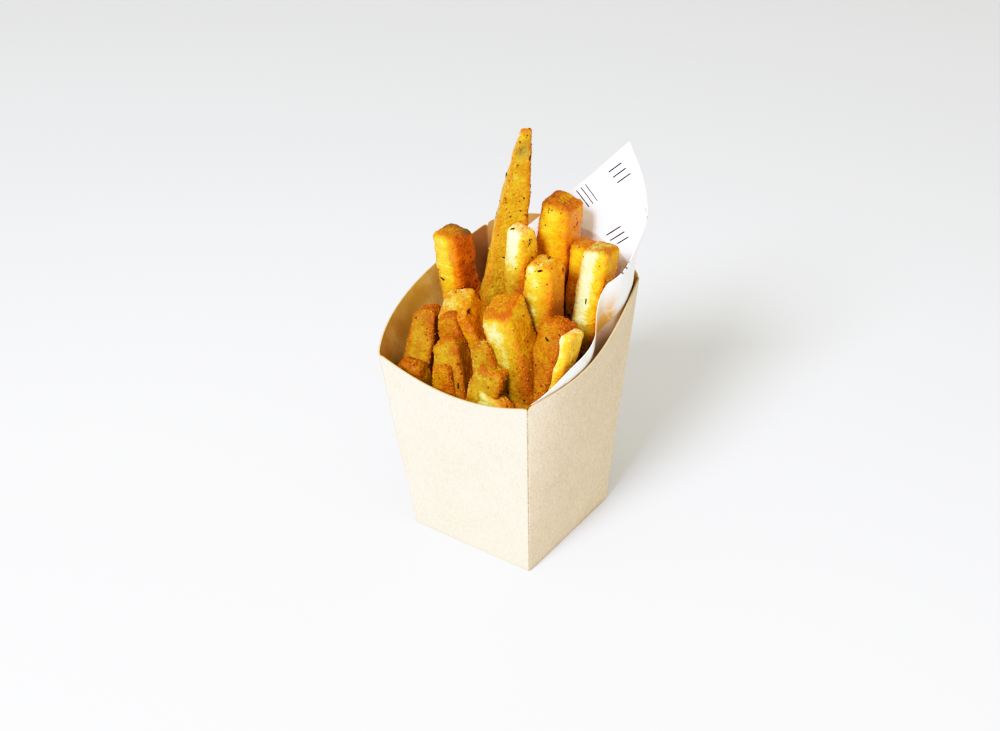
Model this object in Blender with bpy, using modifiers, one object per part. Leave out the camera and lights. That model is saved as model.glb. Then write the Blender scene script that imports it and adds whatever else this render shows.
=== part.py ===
"""French fries in an open kraft carton, lined at the back and right with a loose sheet of white paper.

Three pieces: the carton, the paper liner and the heap of fries. The carton stands on its square base,
centred on the origin, with its low front wall towards -Y. Units are metres, +Z is up.
"""
import math
import random
from collections import namedtuple

import bmesh
import bpy
from mathutils import Matrix, Vector, noise

MM = 0.001
NOISE_SEED = 7

# Carton: a folded board tray that widens upwards, low in front and arched at the back
BASE_SIDE = 50 * MM
BOARD_THICKNESS = 0.5 * MM
FRONT_CORNER_HEIGHT = 73.2 * MM
FRONT_SCOOP_DEPTH = 6.8 * MM
BACK_CORNER_HEIGHT = 94 * MM
BACK_ARCH_RISE = 9.8 * MM
RIGHT_RIM_DIP = 2.8 * MM
RIGHT_DIP_FULL_AT = 0.45
BACK_DIP_REACH = 0.16
SIDE_FLARE = 0.0765
FRONT_FLARE = 0.0945
SIDE_BOW = 7.2 * MM
SIDE_BOW_POWER = 1.2
SIDE_BOW_FORWARD = 0.27
SIDE_COLUMNS = 14
FRONT_COLUMNS = 12
BACK_COLUMNS = 14
WALL_ROWS = 6

# Paper liner: one sheet along the right wall, round the back corner and along the back wall
PAPER_THICKNESS = 0.3 * MM
PAPER_GAP = 0.75 * MM
PAPER_FOOT = 4 * MM
PAPER_FRONT_START = 1.5 * MM
PAPER_CORNER_RADIUS = 5 * MM
PAPER_TIP_HEIGHT = 138.5 * MM
PAPER_UPRIGHT_FROM = 108 * MM
PAPER_PROUD = 3 * MM
PAPER_PROUD_FULL_AT = -15 * MM
PAPER_BACK_RISE = 9.5 * MM
PAPER_RISE_FROM = -1 * MM
PAPER_RISE_TO = 11 * MM
PAPER_SHOULDER_POWER = 1.2
PAPER_LEFT_END = 5 * MM
PAPER_CURL = 2.6 * MM
PAPER_CURL_FROM = 98 * MM
PAPER_CURL_TO = 116 * MM
PAPER_FOLD_AT = 6.5 * MM
PAPER_FOLD_DEPTH = 4.6 * MM
PAPER_FOLD_WIDTH = 7.5 * MM
PAPER_FOLD_FROM = 45 * MM
PAPER_FOLD_TO = 92 * MM
PAPER_CRINKLE_DEPTH = 0.35 * MM
PAPER_CRINKLE_SCALE = 90
PAPER_RIGHT_COLUMNS = 20
PAPER_CORNER_COLUMNS = 6
PAPER_BACK_COLUMNS = 12
PAPER_ROWS = 12
PAPER_EDGE_STEPS = 8

# Fries: thick cut, with a square section whose corners are cut off
FRY_FLAT = 0.72
FRY_SECTION = [
    (1, -FRY_FLAT), (1, FRY_FLAT), (FRY_FLAT, 1), (-FRY_FLAT, 1),
    (-1, FRY_FLAT), (-1, -FRY_FLAT), (-FRY_FLAT, -1), (FRY_FLAT, -1),
]
FRY_RINGS = 7
FRY_CROWN = [(0.985, 0.97), (1.0, 0.78)]
FRY_TAPER_POWER = 3.5
FRY_SLANT_POWER = 4
FRY_SEED = 11
FRY_BEND = 1.1 * MM
FRY_BEND_SCALE = 45
FRY_CRAG = 0.5 * MM
FRY_CRAG_SCALE = 190

# Fillers: lower fries between those that show (heights and widths in millimetres, turn in degrees)
FILLER_STEP = 8.8 * MM
FILLER_COLUMNS = 6
FILLER_LINES = 6
FILLER_SPACING = 7.2 * MM
FILLER_FOOT = 50 * MM
FILLER_TOP = (61, 69)
FILLER_WIDTH = (8.6, 10.2)
FILLER_FLATNESS = 0.94
FILLER_LEAN = 1
FILLER_TURN = 15
FILLER_TAPER = 0.85
FILLER_CUT = (8, 0)

# Core: the packed fries below those that show
CORE_GAP = 0.6 * MM
CORE_TOP = 55 * MM
CORE_TOP_SLOPE = 0.06
CORE_ROWS = 6
CORE_SIDE_STEPS = 6
CORE_CORNER_SHARES = (1 / 3, 2 / 3, 1)
CORE_FLOOR_GAP = 0.4 * MM

COLLECTION_NAME = "fries_in_carton"

Fry = namedtuple("Fry", "name top foot width depth turn taper cut")


def mix(start, end, share):
    return start + (end - start) * share


def fry(name, top, foot, width, depth, turn=0, taper=0.9, cut=(0, 0)):
    """A fry in millimetres and degrees: its axis, section, twist, taper and the slants of its cut end."""
    return Fry(name, Vector(top) * MM, Vector(foot) * MM, width * MM, depth * MM, turn, taper, cut)


FRIES = [
    fry("tall", (3.9, 9, 147), (-8.5, -3, 52), 12.0, 9.5, 38, 0.26, (12, 8)),
    fry("skin_end", (-28.4, 8, 103), (-20, 7, 52), 11.4, 11.2, -8, 0.85, (-8, 6)),
    fry("back_block", (9.6, 20, 119.5), (7, 10.5, 52), 12.8, 12.0, 0, 0.85, (-6, 14)),
    fry("pale", (5.0, 2, 116), (9, -2.5, 52), 10.0, 9.6, 0, 0.66, (-18, 8)),
    fry("middle", (17.5, -2, 109.5), (20, -9.5, 52), 11.8, 11.4, 4, 0.78, (-4, 10)),
    fry("right_inner", (20.6, 18.4, 107.0), (18, 10, 52), 8.2, 8.0, 0, 0.85, (0, 6)),
    fry("right_outer", (27.4, 17.6, 109.0), (22.5, 8, 52), 9.8, 9.2, 3, 0.9, (8, 10)),
    fry("lying_end", (-14.8, -8.5, 87.5), (3.6, -9.5, 58), 13.0, 13.0, 6, 0.85, (-16, 34)),
    fry("prominent", (11.0, -17, 98), (21.5, -15, 54), 13.0, 12.0, 2, 0.88, (4, 22)),
    fry("left_front", (-25.4, -10, 83), (-25, -19, 52), 10.6, 9.6, 12, 0.72, (12, 8)),
    fry("front_second", (-10.0, -18.7, 80.5), (-3.5, -22, 52), 12.0, 9.4, 5, 0.74, (6, 4)),
    fry("craggy", (-8.4, -24.2, 73), (-4.4, -24.5, 52), 9.4, 6.4, 0, 0.64, (14, 0)),
    fry("front_third", (6.2, -21.2, 84.6), (14.5, -22.4, 52), 11.6, 7.6, 0, 0.74, (8, 8)),
    fry("front_fourth", (12.2, -24, 78.6), (4.5, -23, 52), 11.4, 8.8, 8, 0.88, (4, 10)),
    fry("front_low", (14.2, -26, 70), (8, -23.5, 50), 15.0, 6.6, 0, 0.8, (-14, 0)),
    fry("right_front", (28.4, -8.2, 93.5), (21, -21, 54), 10.8, 9.8, -5, 0.78, (10, 8)),
    fry("right_wall", (31.4, -9.5, 91.5), (24.8, -19.5, 56), 9.4, 8.0, 0, 0.88, (14, 12)),
    fry("left_second", (-13.4, -12.8, 85), (-4, -15, 52), 9.6, 9.0, 8, 0.75, (14, 0)),
    fry("left_corner", (-23.4, -24, 68.5), (-18, -21.5, 48), 9.6, 7.2, 0, 0.8, (-12, 0)),
    fry("back_left", (-22, 21, 72), (-19, 18, 50), 10.6, 10.2, 10, 0.85, (8, 0)),
    fry("back_centre", (-5, 19, 80), (-8, 15, 50), 10.4, 10.0, -6, 0.85, (10, 0)),
    fry("back_right", (22, 24, 84), (18, 17, 50), 9.6, 9.2, 8, 0.85, (-8, 0)),
]


def axis_at(piece, z):
    """The point of a fry's axis at height z."""
    share = (z - piece.foot.z) / (piece.top.z - piece.foot.z)
    return mix(piece.foot, piece.top, share)


def filler_fries():
    """Lower fries on a grid that close the gaps between the placed ones."""
    draw = random.Random(FRY_SEED)
    fillers = []
    for column in range(FILLER_COLUMNS):
        for line in range(FILLER_LINES):
            x = (column - (FILLER_COLUMNS - 1) / 2) * FILLER_STEP
            y = (line - (FILLER_LINES - 1) / 2) * FILLER_STEP
            foot = Vector((x, y, FILLER_FOOT))
            top = Vector((x / MM, y / MM, draw.uniform(*FILLER_TOP)))
            top.x += draw.uniform(-FILLER_LEAN, FILLER_LEAN)
            top.y += draw.uniform(-FILLER_LEAN, FILLER_LEAN)
            width = draw.uniform(*FILLER_WIDTH)
            depth = width * FILLER_FLATNESS
            turn = draw.uniform(-FILLER_TURN, FILLER_TURN)
            nearest = min((axis_at(piece, FILLER_FOOT) - foot).length for piece in FRIES)
            if nearest > FILLER_SPACING:
                name = f"filler_{column}_{line}"
                fillers.append(fry(name, top, foot / MM, width, depth, turn, FILLER_TAPER, FILLER_CUT))
    return fillers


def start_empty():
    """Removes whatever the file holds."""
    for thing in list(bpy.data.objects):
        bpy.data.objects.remove(thing, do_unlink=True)


def make_collection(name):
    collection = bpy.data.collections.new(name)
    bpy.context.scene.collection.children.link(collection)
    return collection


def make_material(name, colour, roughness):
    material = bpy.data.materials.new(name)
    material.use_nodes = True
    shader = material.node_tree.nodes["Principled BSDF"]
    shader.inputs["Base Color"].default_value = (*colour, 1.0)
    shader.inputs["Roughness"].default_value = roughness
    shader.inputs["Metallic"].default_value = 0.0
    material.diffuse_color = (*colour, 1.0)
    return material


def object_from_bmesh(name, shape, collection, material=None):
    mesh = bpy.data.meshes.new(name)
    shape.to_mesh(mesh)
    shape.free()
    thing = bpy.data.objects.new(name, mesh)
    collection.objects.link(thing)
    if material:
        mesh.materials.append(material)
    return thing


def half_width(z):
    """Half of the carton's outer width along X at its corners, at height z."""
    return BASE_SIDE / 2 + SIDE_FLARE * z


def half_depth(z):
    """Half of the carton's outer depth along Y at height z."""
    return BASE_SIDE / 2 + FRONT_FLARE * z


def side_rim_height(share):
    """Height of a side wall's rim, from share 0 at the front corner to 1 at the back corner."""
    return mix(FRONT_CORNER_HEIGHT, BACK_CORNER_HEIGHT, share)


def right_rim_height(share):
    """The right wall's rim runs a little lower than the left one's behind its front corner."""
    return side_rim_height(share) - RIGHT_RIM_DIP * smooth_step(0, RIGHT_DIP_FULL_AT, share)


def front_rim_height(share):
    """The front wall's rim dips in the middle; share runs from 0 to 1 across the wall."""
    across = 2 * share - 1
    return FRONT_CORNER_HEIGHT - FRONT_SCOOP_DEPTH * (1 - across ** 2)


def back_rim_height(share):
    """The back wall's rim is an arch; share runs from the lower right corner to the left one."""
    across = 2 * share - 1
    dip = RIGHT_RIM_DIP * (1 - smooth_step(0, BACK_DIP_REACH, share))
    return BACK_CORNER_HEIGHT + BACK_ARCH_RISE * (1 - across ** 2) - dip


def side_bow(share, z):
    """How far the packed fries push a side wall outwards, at height z."""
    hump = 4 * share * (1 - share) * (1 - SIDE_BOW_FORWARD * (2 * share - 1))
    return SIDE_BOW * max(hump, 0) * (z / side_rim_height(share)) ** SIDE_BOW_POWER


def side_point(side, share, z, inset=0.0):
    """A point of a side wall, side -1 left or +1 right, moved inwards from its outer face by inset."""
    x = half_width(z) - inset + side_bow(share, z)
    y = (half_depth(z) - inset) * (2 * share - 1)
    return Vector((side * x, y, z))


def carton_columns():
    """The carton's outer face as columns of points, anticlockwise from the front left corner."""
    columns = []
    for i in range(FRONT_COLUMNS):
        share = i / FRONT_COLUMNS
        columns.append(wall_column(front_rim_height(share), lambda z, s=share: Vector(
            (half_width(z) * (2 * s - 1), -half_depth(z), z))))
    for i in range(SIDE_COLUMNS):
        share = i / SIDE_COLUMNS
        columns.append(wall_column(right_rim_height(share), lambda z, s=share: side_point(1, s, z)))
    for i in range(BACK_COLUMNS):
        share = i / BACK_COLUMNS
        columns.append(wall_column(back_rim_height(share), lambda z, s=share: Vector(
            (half_width(z) * (1 - 2 * s), half_depth(z), z))))
    for i in range(SIDE_COLUMNS):
        share = 1 - i / SIDE_COLUMNS
        columns.append(wall_column(side_rim_height(share), lambda z, s=share: side_point(-1, s, z)))
    return columns


def wall_column(rim_height, point_at):
    return [point_at(rim_height * row / WALL_ROWS) for row in range(WALL_ROWS + 1)]


def make_carton(collection, material):
    """Four walls and a base as one open skin, thickened inwards by a Solidify modifier."""
    shape = bmesh.new()
    columns = [[shape.verts.new(point) for point in column] for column in carton_columns()]
    for left, right in zip(columns, columns[1:] + columns[:1]):
        for row in range(WALL_ROWS):
            shape.faces.new((left[row], right[row], right[row + 1], left[row + 1]))
    shape.faces.new([column[0] for column in reversed(columns)])
    carton = object_from_bmesh("carton", shape, collection, material)
    board = carton.modifiers.new("board", "SOLIDIFY")
    board.thickness = BOARD_THICKNESS
    board.offset = -1
    board.use_even_offset = True
    return carton


def smooth_step(low, high, value):
    share = min(max((value - low) / (high - low), 0), 1)
    return share * share * (3 - 2 * share)


def paper_top_on_right(y):
    """Height of the free edge along the right wall: just proud of the rim, then rising behind the fold."""
    share = (y / half_depth(FRONT_CORNER_HEIGHT) + 1) / 2
    proud = PAPER_PROUD * smooth_step(-half_depth(FRONT_CORNER_HEIGHT), PAPER_PROUD_FULL_AT, y)
    rise = PAPER_BACK_RISE * smooth_step(PAPER_RISE_FROM, PAPER_RISE_TO, y)
    return side_rim_height(min(max(share, 0), 1)) + proud + rise


def paper_flare(z):
    """Half width and half depth of the sheet's path: the carton's inside, and upright above the rim."""
    level = min(z, PAPER_UPRIGHT_FROM)
    inset = BOARD_THICKNESS + PAPER_GAP
    return half_width(level) - inset, half_depth(level) - inset


def paper_right(share, z, inside=0.0):
    """A point of the sheet along the right wall, or inside it; share runs from front to back."""
    corner_x, corner_y = paper_flare(z)
    y = mix(-corner_y + PAPER_FRONT_START, corner_y - PAPER_CORNER_RADIUS, share)
    along = (y / corner_y + 1) / 2
    bow = side_bow(along, min(z, side_rim_height(along)))
    hump = math.exp(-((y - PAPER_FOLD_AT) / PAPER_FOLD_WIDTH) ** 2)
    fold = PAPER_FOLD_DEPTH * hump * smooth_step(PAPER_FOLD_FROM, PAPER_FOLD_TO, z)
    return Vector((corner_x + bow - fold - inside, y, z))


def paper_corner(share, z, inside=0.0):
    """A point of the sheet round the back corner, where it curls outwards above the rim, or inside it."""
    corner_x, corner_y = paper_flare(z)
    start = paper_right(1, z)
    angle = math.radians(90) * share
    extra = (start.x - corner_x) * (1 - share)
    curl = PAPER_CURL * math.sin(math.pi * share) * smooth_step(PAPER_CURL_FROM, PAPER_CURL_TO, z)
    reach = PAPER_CORNER_RADIUS + curl - inside
    x = corner_x - PAPER_CORNER_RADIUS + extra + reach * math.cos(angle)
    return Vector((x, corner_y - PAPER_CORNER_RADIUS + reach * math.sin(angle), z))


def paper_back(share, z):
    """A point of the sheet along the back wall; share runs from the corner to the left end."""
    corner_x, corner_y = paper_flare(z)
    x = mix(corner_x - PAPER_CORNER_RADIUS, PAPER_LEFT_END - corner_x, share)
    return Vector((x, corner_y, z))


def paper_top_on_back(share):
    """The free edge falls from the tip at 45 degrees, as a square sheet's does; found by a few steps."""
    tip = paper_back(0, PAPER_TIP_HEIGHT)
    height = PAPER_TIP_HEIGHT
    for _ in range(PAPER_EDGE_STEPS):
        height = PAPER_TIP_HEIGHT - (tip.x - paper_back(share, height).x)
    return height


def paper_columns():
    """Each column of the sheet as the function that places it and the height of its free edge."""
    columns = []
    for i in range(PAPER_RIGHT_COLUMNS):
        share = i / PAPER_RIGHT_COLUMNS
        y = paper_right(share, BACK_CORNER_HEIGHT).y
        columns.append((paper_right, share, paper_top_on_right(y)))
    shoulder = paper_top_on_right(paper_right(1, BACK_CORNER_HEIGHT).y)
    for i in range(PAPER_CORNER_COLUMNS):
        share = i / PAPER_CORNER_COLUMNS
        columns.append((paper_corner, share, mix(shoulder, PAPER_TIP_HEIGHT, share ** PAPER_SHOULDER_POWER)))
    for i in range(PAPER_BACK_COLUMNS + 1):
        share = i / PAPER_BACK_COLUMNS
        columns.append((paper_back, share, paper_top_on_back(share)))
    return columns


def crinkled(point):
    """Crinkles push the sheet inwards only, so that it stays clear of the board."""
    inwards = Vector((-point.x, -point.y, 0)).normalized()
    return point + inwards * abs(noise.noise(point * PAPER_CRINKLE_SCALE)) * PAPER_CRINKLE_DEPTH


def make_paper(collection, material):
    """The liner: a wavy sheet, thickened on both faces alike by a Solidify modifier."""
    shape = bmesh.new()
    columns = []
    for place, share, top in paper_columns():
        heights = [mix(PAPER_FOOT, top, row / PAPER_ROWS) for row in range(PAPER_ROWS + 1)]
        columns.append([shape.verts.new(crinkled(place(share, z))) for z in heights])
    for first, second in zip(columns, columns[1:]):
        for row in range(PAPER_ROWS):
            shape.faces.new((first[row], first[row + 1], second[row + 1], second[row]))
    paper = object_from_bmesh("paper_liner", shape, collection, material)
    sheet = paper.modifiers.new("sheet", "SOLIDIFY")
    sheet.thickness = PAPER_THICKNESS
    sheet.offset = 0
    return paper


def fry_frame(piece):
    """Axis, length and the two section directions of a fry."""
    axis = piece.top - piece.foot
    length = axis.length
    axis.normalize()
    across = Vector((1, 0, 0)) - axis * axis.x
    across.normalize()
    along = axis.cross(across)
    turn = Matrix.Rotation(math.radians(piece.turn), 3, axis)
    return axis, length, turn @ across, turn @ along


def fry_ring(piece, share, size):
    """One section of a fry: a square with its corners cut off, slanted towards the cut end."""
    axis, length, across, along = fry_frame(piece)
    slope_across = math.tan(math.radians(piece.cut[0])) * share ** FRY_SLANT_POWER
    slope_along = math.tan(math.radians(piece.cut[1])) * share ** FRY_SLANT_POWER
    ring = []
    for a, b in FRY_SECTION:
        u = a * piece.width / 2 * size
        v = b * piece.depth / 2 * size
        slant = u * slope_across + v * slope_along
        ring.append(piece.foot + axis * (length * share + slant) + across * u + along * v)
    return ring


def make_fry(piece, number, collection):
    """A closed fry of a few rings, roughened, with a crown ring that rounds its cut end."""
    shape = bmesh.new()
    stations = [(i / FRY_RINGS, 1.0) for i in range(FRY_RINGS)] + FRY_CROWN
    rings = []
    for share, size in stations:
        taper = mix(1.0, piece.taper, share ** FRY_TAPER_POWER)
        points = fry_ring(piece, share, size * taper)
        rings.append([shape.verts.new(roughened(point, number)) for point in points])
    for lower, upper in zip(rings, rings[1:]):
        for i in range(len(FRY_SECTION)):
            j = (i + 1) % len(FRY_SECTION)
            shape.faces.new((lower[i], lower[j], upper[j], upper[i]))
    shape.faces.new(list(reversed(rings[0])))
    shape.faces.new(rings[-1])
    bmesh.ops.triangulate(shape, faces=shape.faces[:])
    return object_from_bmesh("fry_" + piece.name, shape, collection)


def roughened(point, number):
    """Moves a point by smooth noise, in broad bends and small crags, so that no face is dead flat."""
    shift = Vector((number * FRY_SEED, number, 0))
    bends = noise.noise_vector(point * FRY_BEND_SCALE + shift) * FRY_BEND
    crags = noise.noise_vector(point * FRY_CRAG_SCALE + shift) * FRY_CRAG
    return point + bends + crags


def core_outline(z):
    """The core's outline at height z, clear of the paper at the right and back and of the board elsewhere."""
    clear_board = BOARD_THICKNESS + CORE_GAP
    clear_paper = PAPER_THICKNESS / 2 + PAPER_CRINKLE_DEPTH + CORE_GAP
    steps = [i / CORE_SIDE_STEPS for i in range(CORE_SIDE_STEPS + 1)]
    right = [paper_right(share, z, clear_paper) for share in steps]
    corner = [paper_corner(share, z, clear_paper) for share in CORE_CORNER_SHARES]
    left = [side_point(-1, 1 - share, z, clear_board) for share in steps]
    left[0].y = corner[-1].y
    return right + corner + left


def make_core(collection, material):
    """The packed fries that don't show: one block that fills the carton up to the visible fries."""
    shape = bmesh.new()
    floor = BOARD_THICKNESS + CORE_FLOOR_GAP
    rings = []
    for row in range(CORE_ROWS + 1):
        z = mix(floor, CORE_TOP, row / CORE_ROWS)
        ring = []
        for point in core_outline(z):
            lift = CORE_TOP_SLOPE * (point.y + half_depth(z)) * (row / CORE_ROWS)
            ring.append(shape.verts.new(point + Vector((0, 0, lift))))
        rings.append(ring)
    count = len(rings[0])
    for lower, upper in zip(rings, rings[1:]):
        for i in range(count):
            j = (i + 1) % count
            shape.faces.new((lower[i], lower[j], upper[j], upper[i]))
    shape.faces.new(list(reversed(rings[0])))
    shape.faces.new(rings[-1])
    bmesh.ops.triangulate(shape, faces=shape.faces[:])
    return object_from_bmesh("fries", shape, collection, material)


def connected_bodies(shape):
    """The vertices of each connected body of a mesh."""
    unseen = set(shape.verts)
    bodies = []
    while unseen:
        reached = [unseen.pop()]
        body = list(reached)
        while reached:
            vertex = reached.pop()
            for edge in vertex.link_edges:
                other = edge.other_vert(vertex)
                if other in unseen:
                    unseen.remove(other)
                    reached.append(other)
                    body.append(other)
        bodies.append(body)
    return bodies


def keep_outer_body(mesh):
    """Keeps the largest connected body: sealed hollows are filled and loose scraps dropped."""
    shape = bmesh.new()
    shape.from_mesh(mesh)
    bmesh.ops.triangulate(shape, faces=shape.faces[:])
    bodies = connected_bodies(shape)
    largest = max(bodies, key=len)
    scraps = [vertex for body in bodies if body is not largest for vertex in body]
    bmesh.ops.delete(shape, geom=scraps, context="VERTS")
    shape.to_mesh(mesh)
    shape.free()


def fuse(core, pieces):
    """Joins the pieces to the core with one Boolean, applies it and removes the pieces."""
    union = core.modifiers.new("fries", "BOOLEAN")
    union.operation = "UNION"
    union.operand_type = "COLLECTION"
    union.collection = pieces
    union.solver = "EXACT"
    bpy.context.view_layer.update()
    seen = core.evaluated_get(bpy.context.evaluated_depsgraph_get())
    fused = bpy.data.meshes.new_from_object(seen)
    core.modifiers.clear()
    core.data = fused
    keep_outer_body(fused)
    for piece in list(pieces.objects):
        bpy.data.objects.remove(piece, do_unlink=True)
    bpy.data.collections.remove(pieces)


def make_fries(collection, material):
    core = make_core(collection, material)
    pieces = make_collection("fry_pieces")
    for number, piece in enumerate(FRIES + filler_fries()):
        make_fry(piece, number, pieces)
    fuse(core, pieces)
    return core


def main():
    start_empty()
    noise.seed_set(NOISE_SEED)
    collection = make_collection(COLLECTION_NAME)
    kraft = make_material("kraft_board", (0.72, 0.60, 0.42), 0.8)
    white = make_material("greaseproof_paper", (0.93, 0.92, 0.90), 0.6)
    potato = make_material("fried_potato", (0.88, 0.52, 0.08), 0.5)
    make_carton(collection, kraft)
    make_paper(collection, white)
    make_fries(collection, potato)


main()
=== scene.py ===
"""Looks for a carton of thick-cut fries: board, paper liner, crusted fries, seasoning and stage."""

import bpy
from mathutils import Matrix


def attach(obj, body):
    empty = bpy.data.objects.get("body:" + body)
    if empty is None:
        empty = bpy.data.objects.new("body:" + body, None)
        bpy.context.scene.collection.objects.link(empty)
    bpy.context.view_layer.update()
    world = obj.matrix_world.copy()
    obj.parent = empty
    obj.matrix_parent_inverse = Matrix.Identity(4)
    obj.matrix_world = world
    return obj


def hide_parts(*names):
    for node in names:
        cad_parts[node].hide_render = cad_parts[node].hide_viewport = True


bl_info = {
    "name": "Fries in a Carton",
    "version": (1, 0, 0),
    "blender": (4, 5, 0),
    "location": "3D View > Sidebar > Fries",
    "description": "Dresses the packed solids as a kraft carton of fries with a paper liner and seasoning",
    "category": "Add Mesh",
}

import math
import random
from collections import namedtuple

import bmesh
import bpy
from mathutils import Matrix, Vector, noise

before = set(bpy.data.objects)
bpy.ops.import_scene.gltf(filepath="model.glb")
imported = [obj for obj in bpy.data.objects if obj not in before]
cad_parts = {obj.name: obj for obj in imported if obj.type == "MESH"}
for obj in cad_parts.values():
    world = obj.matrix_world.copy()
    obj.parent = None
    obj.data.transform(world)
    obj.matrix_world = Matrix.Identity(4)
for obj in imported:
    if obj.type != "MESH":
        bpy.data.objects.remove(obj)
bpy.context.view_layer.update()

MM = 0.001
SQUARE_CORNER = math.radians(90)
SHARP_EDGE = math.radians(50)

# Carton: the same walls as the solid's, with rounded folds and rounded panel corners
SIDE_FLARE = 0.0765
FRONT_FLARE = 0.0945
SIDE_BOW_POWER = 1.2
SIDE_BOW_FORWARD = 0.27
RIGHT_DIP_FULL_AT = 0.45
BACK_DIP_REACH = 0.16
FOLD_REACH = 0.9 * MM
FOLD_COLUMNS = 10
PANEL_CORNER_RADIUS = 2.4 * MM
PANEL_CORNER_DROP = 1.5 * MM
WALL_STEP = 1.6 * MM
WALL_ROWS = 52
BASE_ROUNDING = [(0.0, 0.45), (0.12, 0.16), (0.45, 0.0)]
BOARD_WARP = 0.22 * MM
BOARD_WARP_SCALE = 40
BOARD_WARP_FROM = 20 * MM
WALL_WIDTH_AT = 0.7
COLUMN_CROWDING = 0.12
FOLD_WORN = (0.04, 0.3)

# Paper: the same sheet as the solid's, with finer folds and crinkles
PAPER_FOOT = 4 * MM
PAPER_FRONT_START = 1.5 * MM
PAPER_CORNER_RADIUS = 5 * MM
PAPER_UPRIGHT_FROM = 108 * MM
PAPER_PROUD = 3 * MM
PAPER_PROUD_FULL_AT = -15 * MM
PAPER_BACK_RISE = 9.5 * MM
PAPER_RISE_FROM = -1 * MM
PAPER_RISE_TO = 11 * MM
PAPER_SHOULDER_POWER = 1.2
PAPER_LEFT_END = 5 * MM
PAPER_CURL = 2.6 * MM
PAPER_CURL_FROM = 98 * MM
PAPER_CURL_TO = 116 * MM
PAPER_FOLD_AT = 6.5 * MM
PAPER_FOLD_DEPTH = 4.6 * MM
PAPER_FOLD_WIDTH = 7.5 * MM
PAPER_FOLD_FROM = 45 * MM
PAPER_FOLD_TO = 92 * MM
PAPER_EDGE_STEPS = 8
PAPER_BACK_FROM = 0.97
PAPER_COLUMNS = {"right": 84, "corner": 22, "back": 84}
PAPER_ROWS = 100
PAPER_CRINKLE = 0.32 * MM
PAPER_CRINKLE_SCALES = (90, 260)
PAPER_FREE_WAVE = 0.9 * MM
PAPER_FREE_WAVE_SCALE = 60
PAPER_FREE_WAVE_SHIFT = Vector((3, 1, 2))
PAPER_FREE_FROM = 2 * MM
PAPER_FREE_TO = 14 * MM
UV_SPAN = 100 * MM

# Board's finish: sizes of its patterns, and how much lighter or darker they are than the board
BOARD_CLOUDS = 14 * MM
BOARD_FIBRES = 0.55 * MM
BOARD_THREADS = 0.7 * MM
BOARD_THREAD_STRETCH = (1.0, 1.0, 0.3)
BOARD_FLECKS = 2.6 * MM
BOARD_FLECK_EDGE = (0.05, 0.16)
BOARD_FLECK_SHARE = 0.4
BOARD_FLECK = 0.5
BOARD_SOAKS = 11 * MM
BOARD_WEAR = 0.8 * MM
BOARD_WEAR_SHARE = 0.8
BOARD_LIGHT = 1.16
BOARD_DEEP = 0.82
BOARD_RELIEF = 0.09 * MM
BOARD_SHINE = 0.25
# Painted shade in the inside far corner: how far it reaches from the back and from the left, and how dark
CORNER_SHADE_BACK = (0, 26 * MM)
CORNER_SHADE_LEFT = (-8 * MM, 14 * MM)
CORNER_SHADE_SHARE = 0.8
CUT_FIBRES = 0.4 * MM
CUT_WORN = 0.72
CUT_RELIEF = 0.08 * MM

# Paper's finish: heights on the sheet and above the rim are in millimetres
PAPER_TOOTH = 0.5 * MM
PAPER_TOOTH_DARK = 0.9
PAPER_CREASES = 7 * MM
PAPER_FAT_SPOTS = 6 * MM
PAPER_FAT_BELOW = (98, 74)
PAPER_RELIEF = 0.12 * MM
PAPER_SHINE = 0.3
BACKED_AND_SHADED_BELOW = (-0.5, 0.4)
# Where the painted glow of bounce light lies: heights below the rim, and on the fold above it
PAINTED_GLOW_BELOW = (-16, -5)
PAINTED_GLOW_ON_FOLD = (2, 17)
PRINT_FROM = 100
PRINT_CELL = 23.0
PRINT_SPACING = 3.0
PRINT_LINE_EDGE = (0.34, 0.44)
PRINT_STROKE_END = (4.6, 4.9)

# Fries' finish
POTATO_BROAD = 9 * MM
POTATO_MOTTLE = 2.6 * MM
POTATO_GRAIN = 1.0 * MM
POTATO_PORES = 1.3 * MM
POTATO_RELIEF = 0.5 * MM
FRIED_STOPS = [
    ("pale", 0.0), ("yellow", 0.22), ("golden", 0.45), ("amber", 0.66), ("brown", 0.86), ("dark", 1.0)]
POTATO_BODY = {
    "Coat Roughness": 0.3,
    "Subsurface Weight": 0.35,
    "Subsurface Radius": (1.0, 0.42, 0.08),
    "Subsurface Scale": 2.2 * MM,
    "Specular IOR Level": 0.08,
}
# Crumbs stand above the crust and catch more light: they are painted paler, with less of the painted shade
CRUMB_PALER = 0.14
CRUMB_LESS_SHADE = 0.4

# Seasoning's finish
SEASONING_PATCHES = 3 * MM
SEASONING_GRAIN = 0.3 * MM
SEASONING_SPREAD = 0.4
SEASONING_RELIEF = 0.06 * MM
SEASONING_SHINE = 0.05

# Fries
NOISE_SEED = 7
FRY_SEED = 11
FRY_BEND = 1.1 * MM
FRY_BEND_SCALE = 45
FRY_CRAG = 0.5 * MM
FRY_CRAG_SCALE = 190
FRY_TAPER_POWER = 3.5
FRY_SLANT_POWER = 4
FRY_STEP = 0.7 * MM
FRY_CORNER = 0.27
FRY_END_ARCS = 5
CRUST_ROOM = 0.25 * MM
FRY_END_REACH = 3 * MM
FRY_END_ROUNDEST = 0.42
FRY_ROUND_SHARE = 1.82
FRY_WELD = 0.005 * MM
FRY_SLIVER = 0.001 * MM
# Painted shade on the cut ends, which face up, away from the key light
END_SHADE = 0.8
END_SHADE_FULL_AT = 0.1
RIM_FROM = 2.2 * MM
RIM_TO = 0.4 * MM
SKIN_FROM = 3 * MM
SKIN_TO = 1 * MM
CRUMBS_FROM = 4 * MM
CRUMBS_TO = 1 * MM
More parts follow.
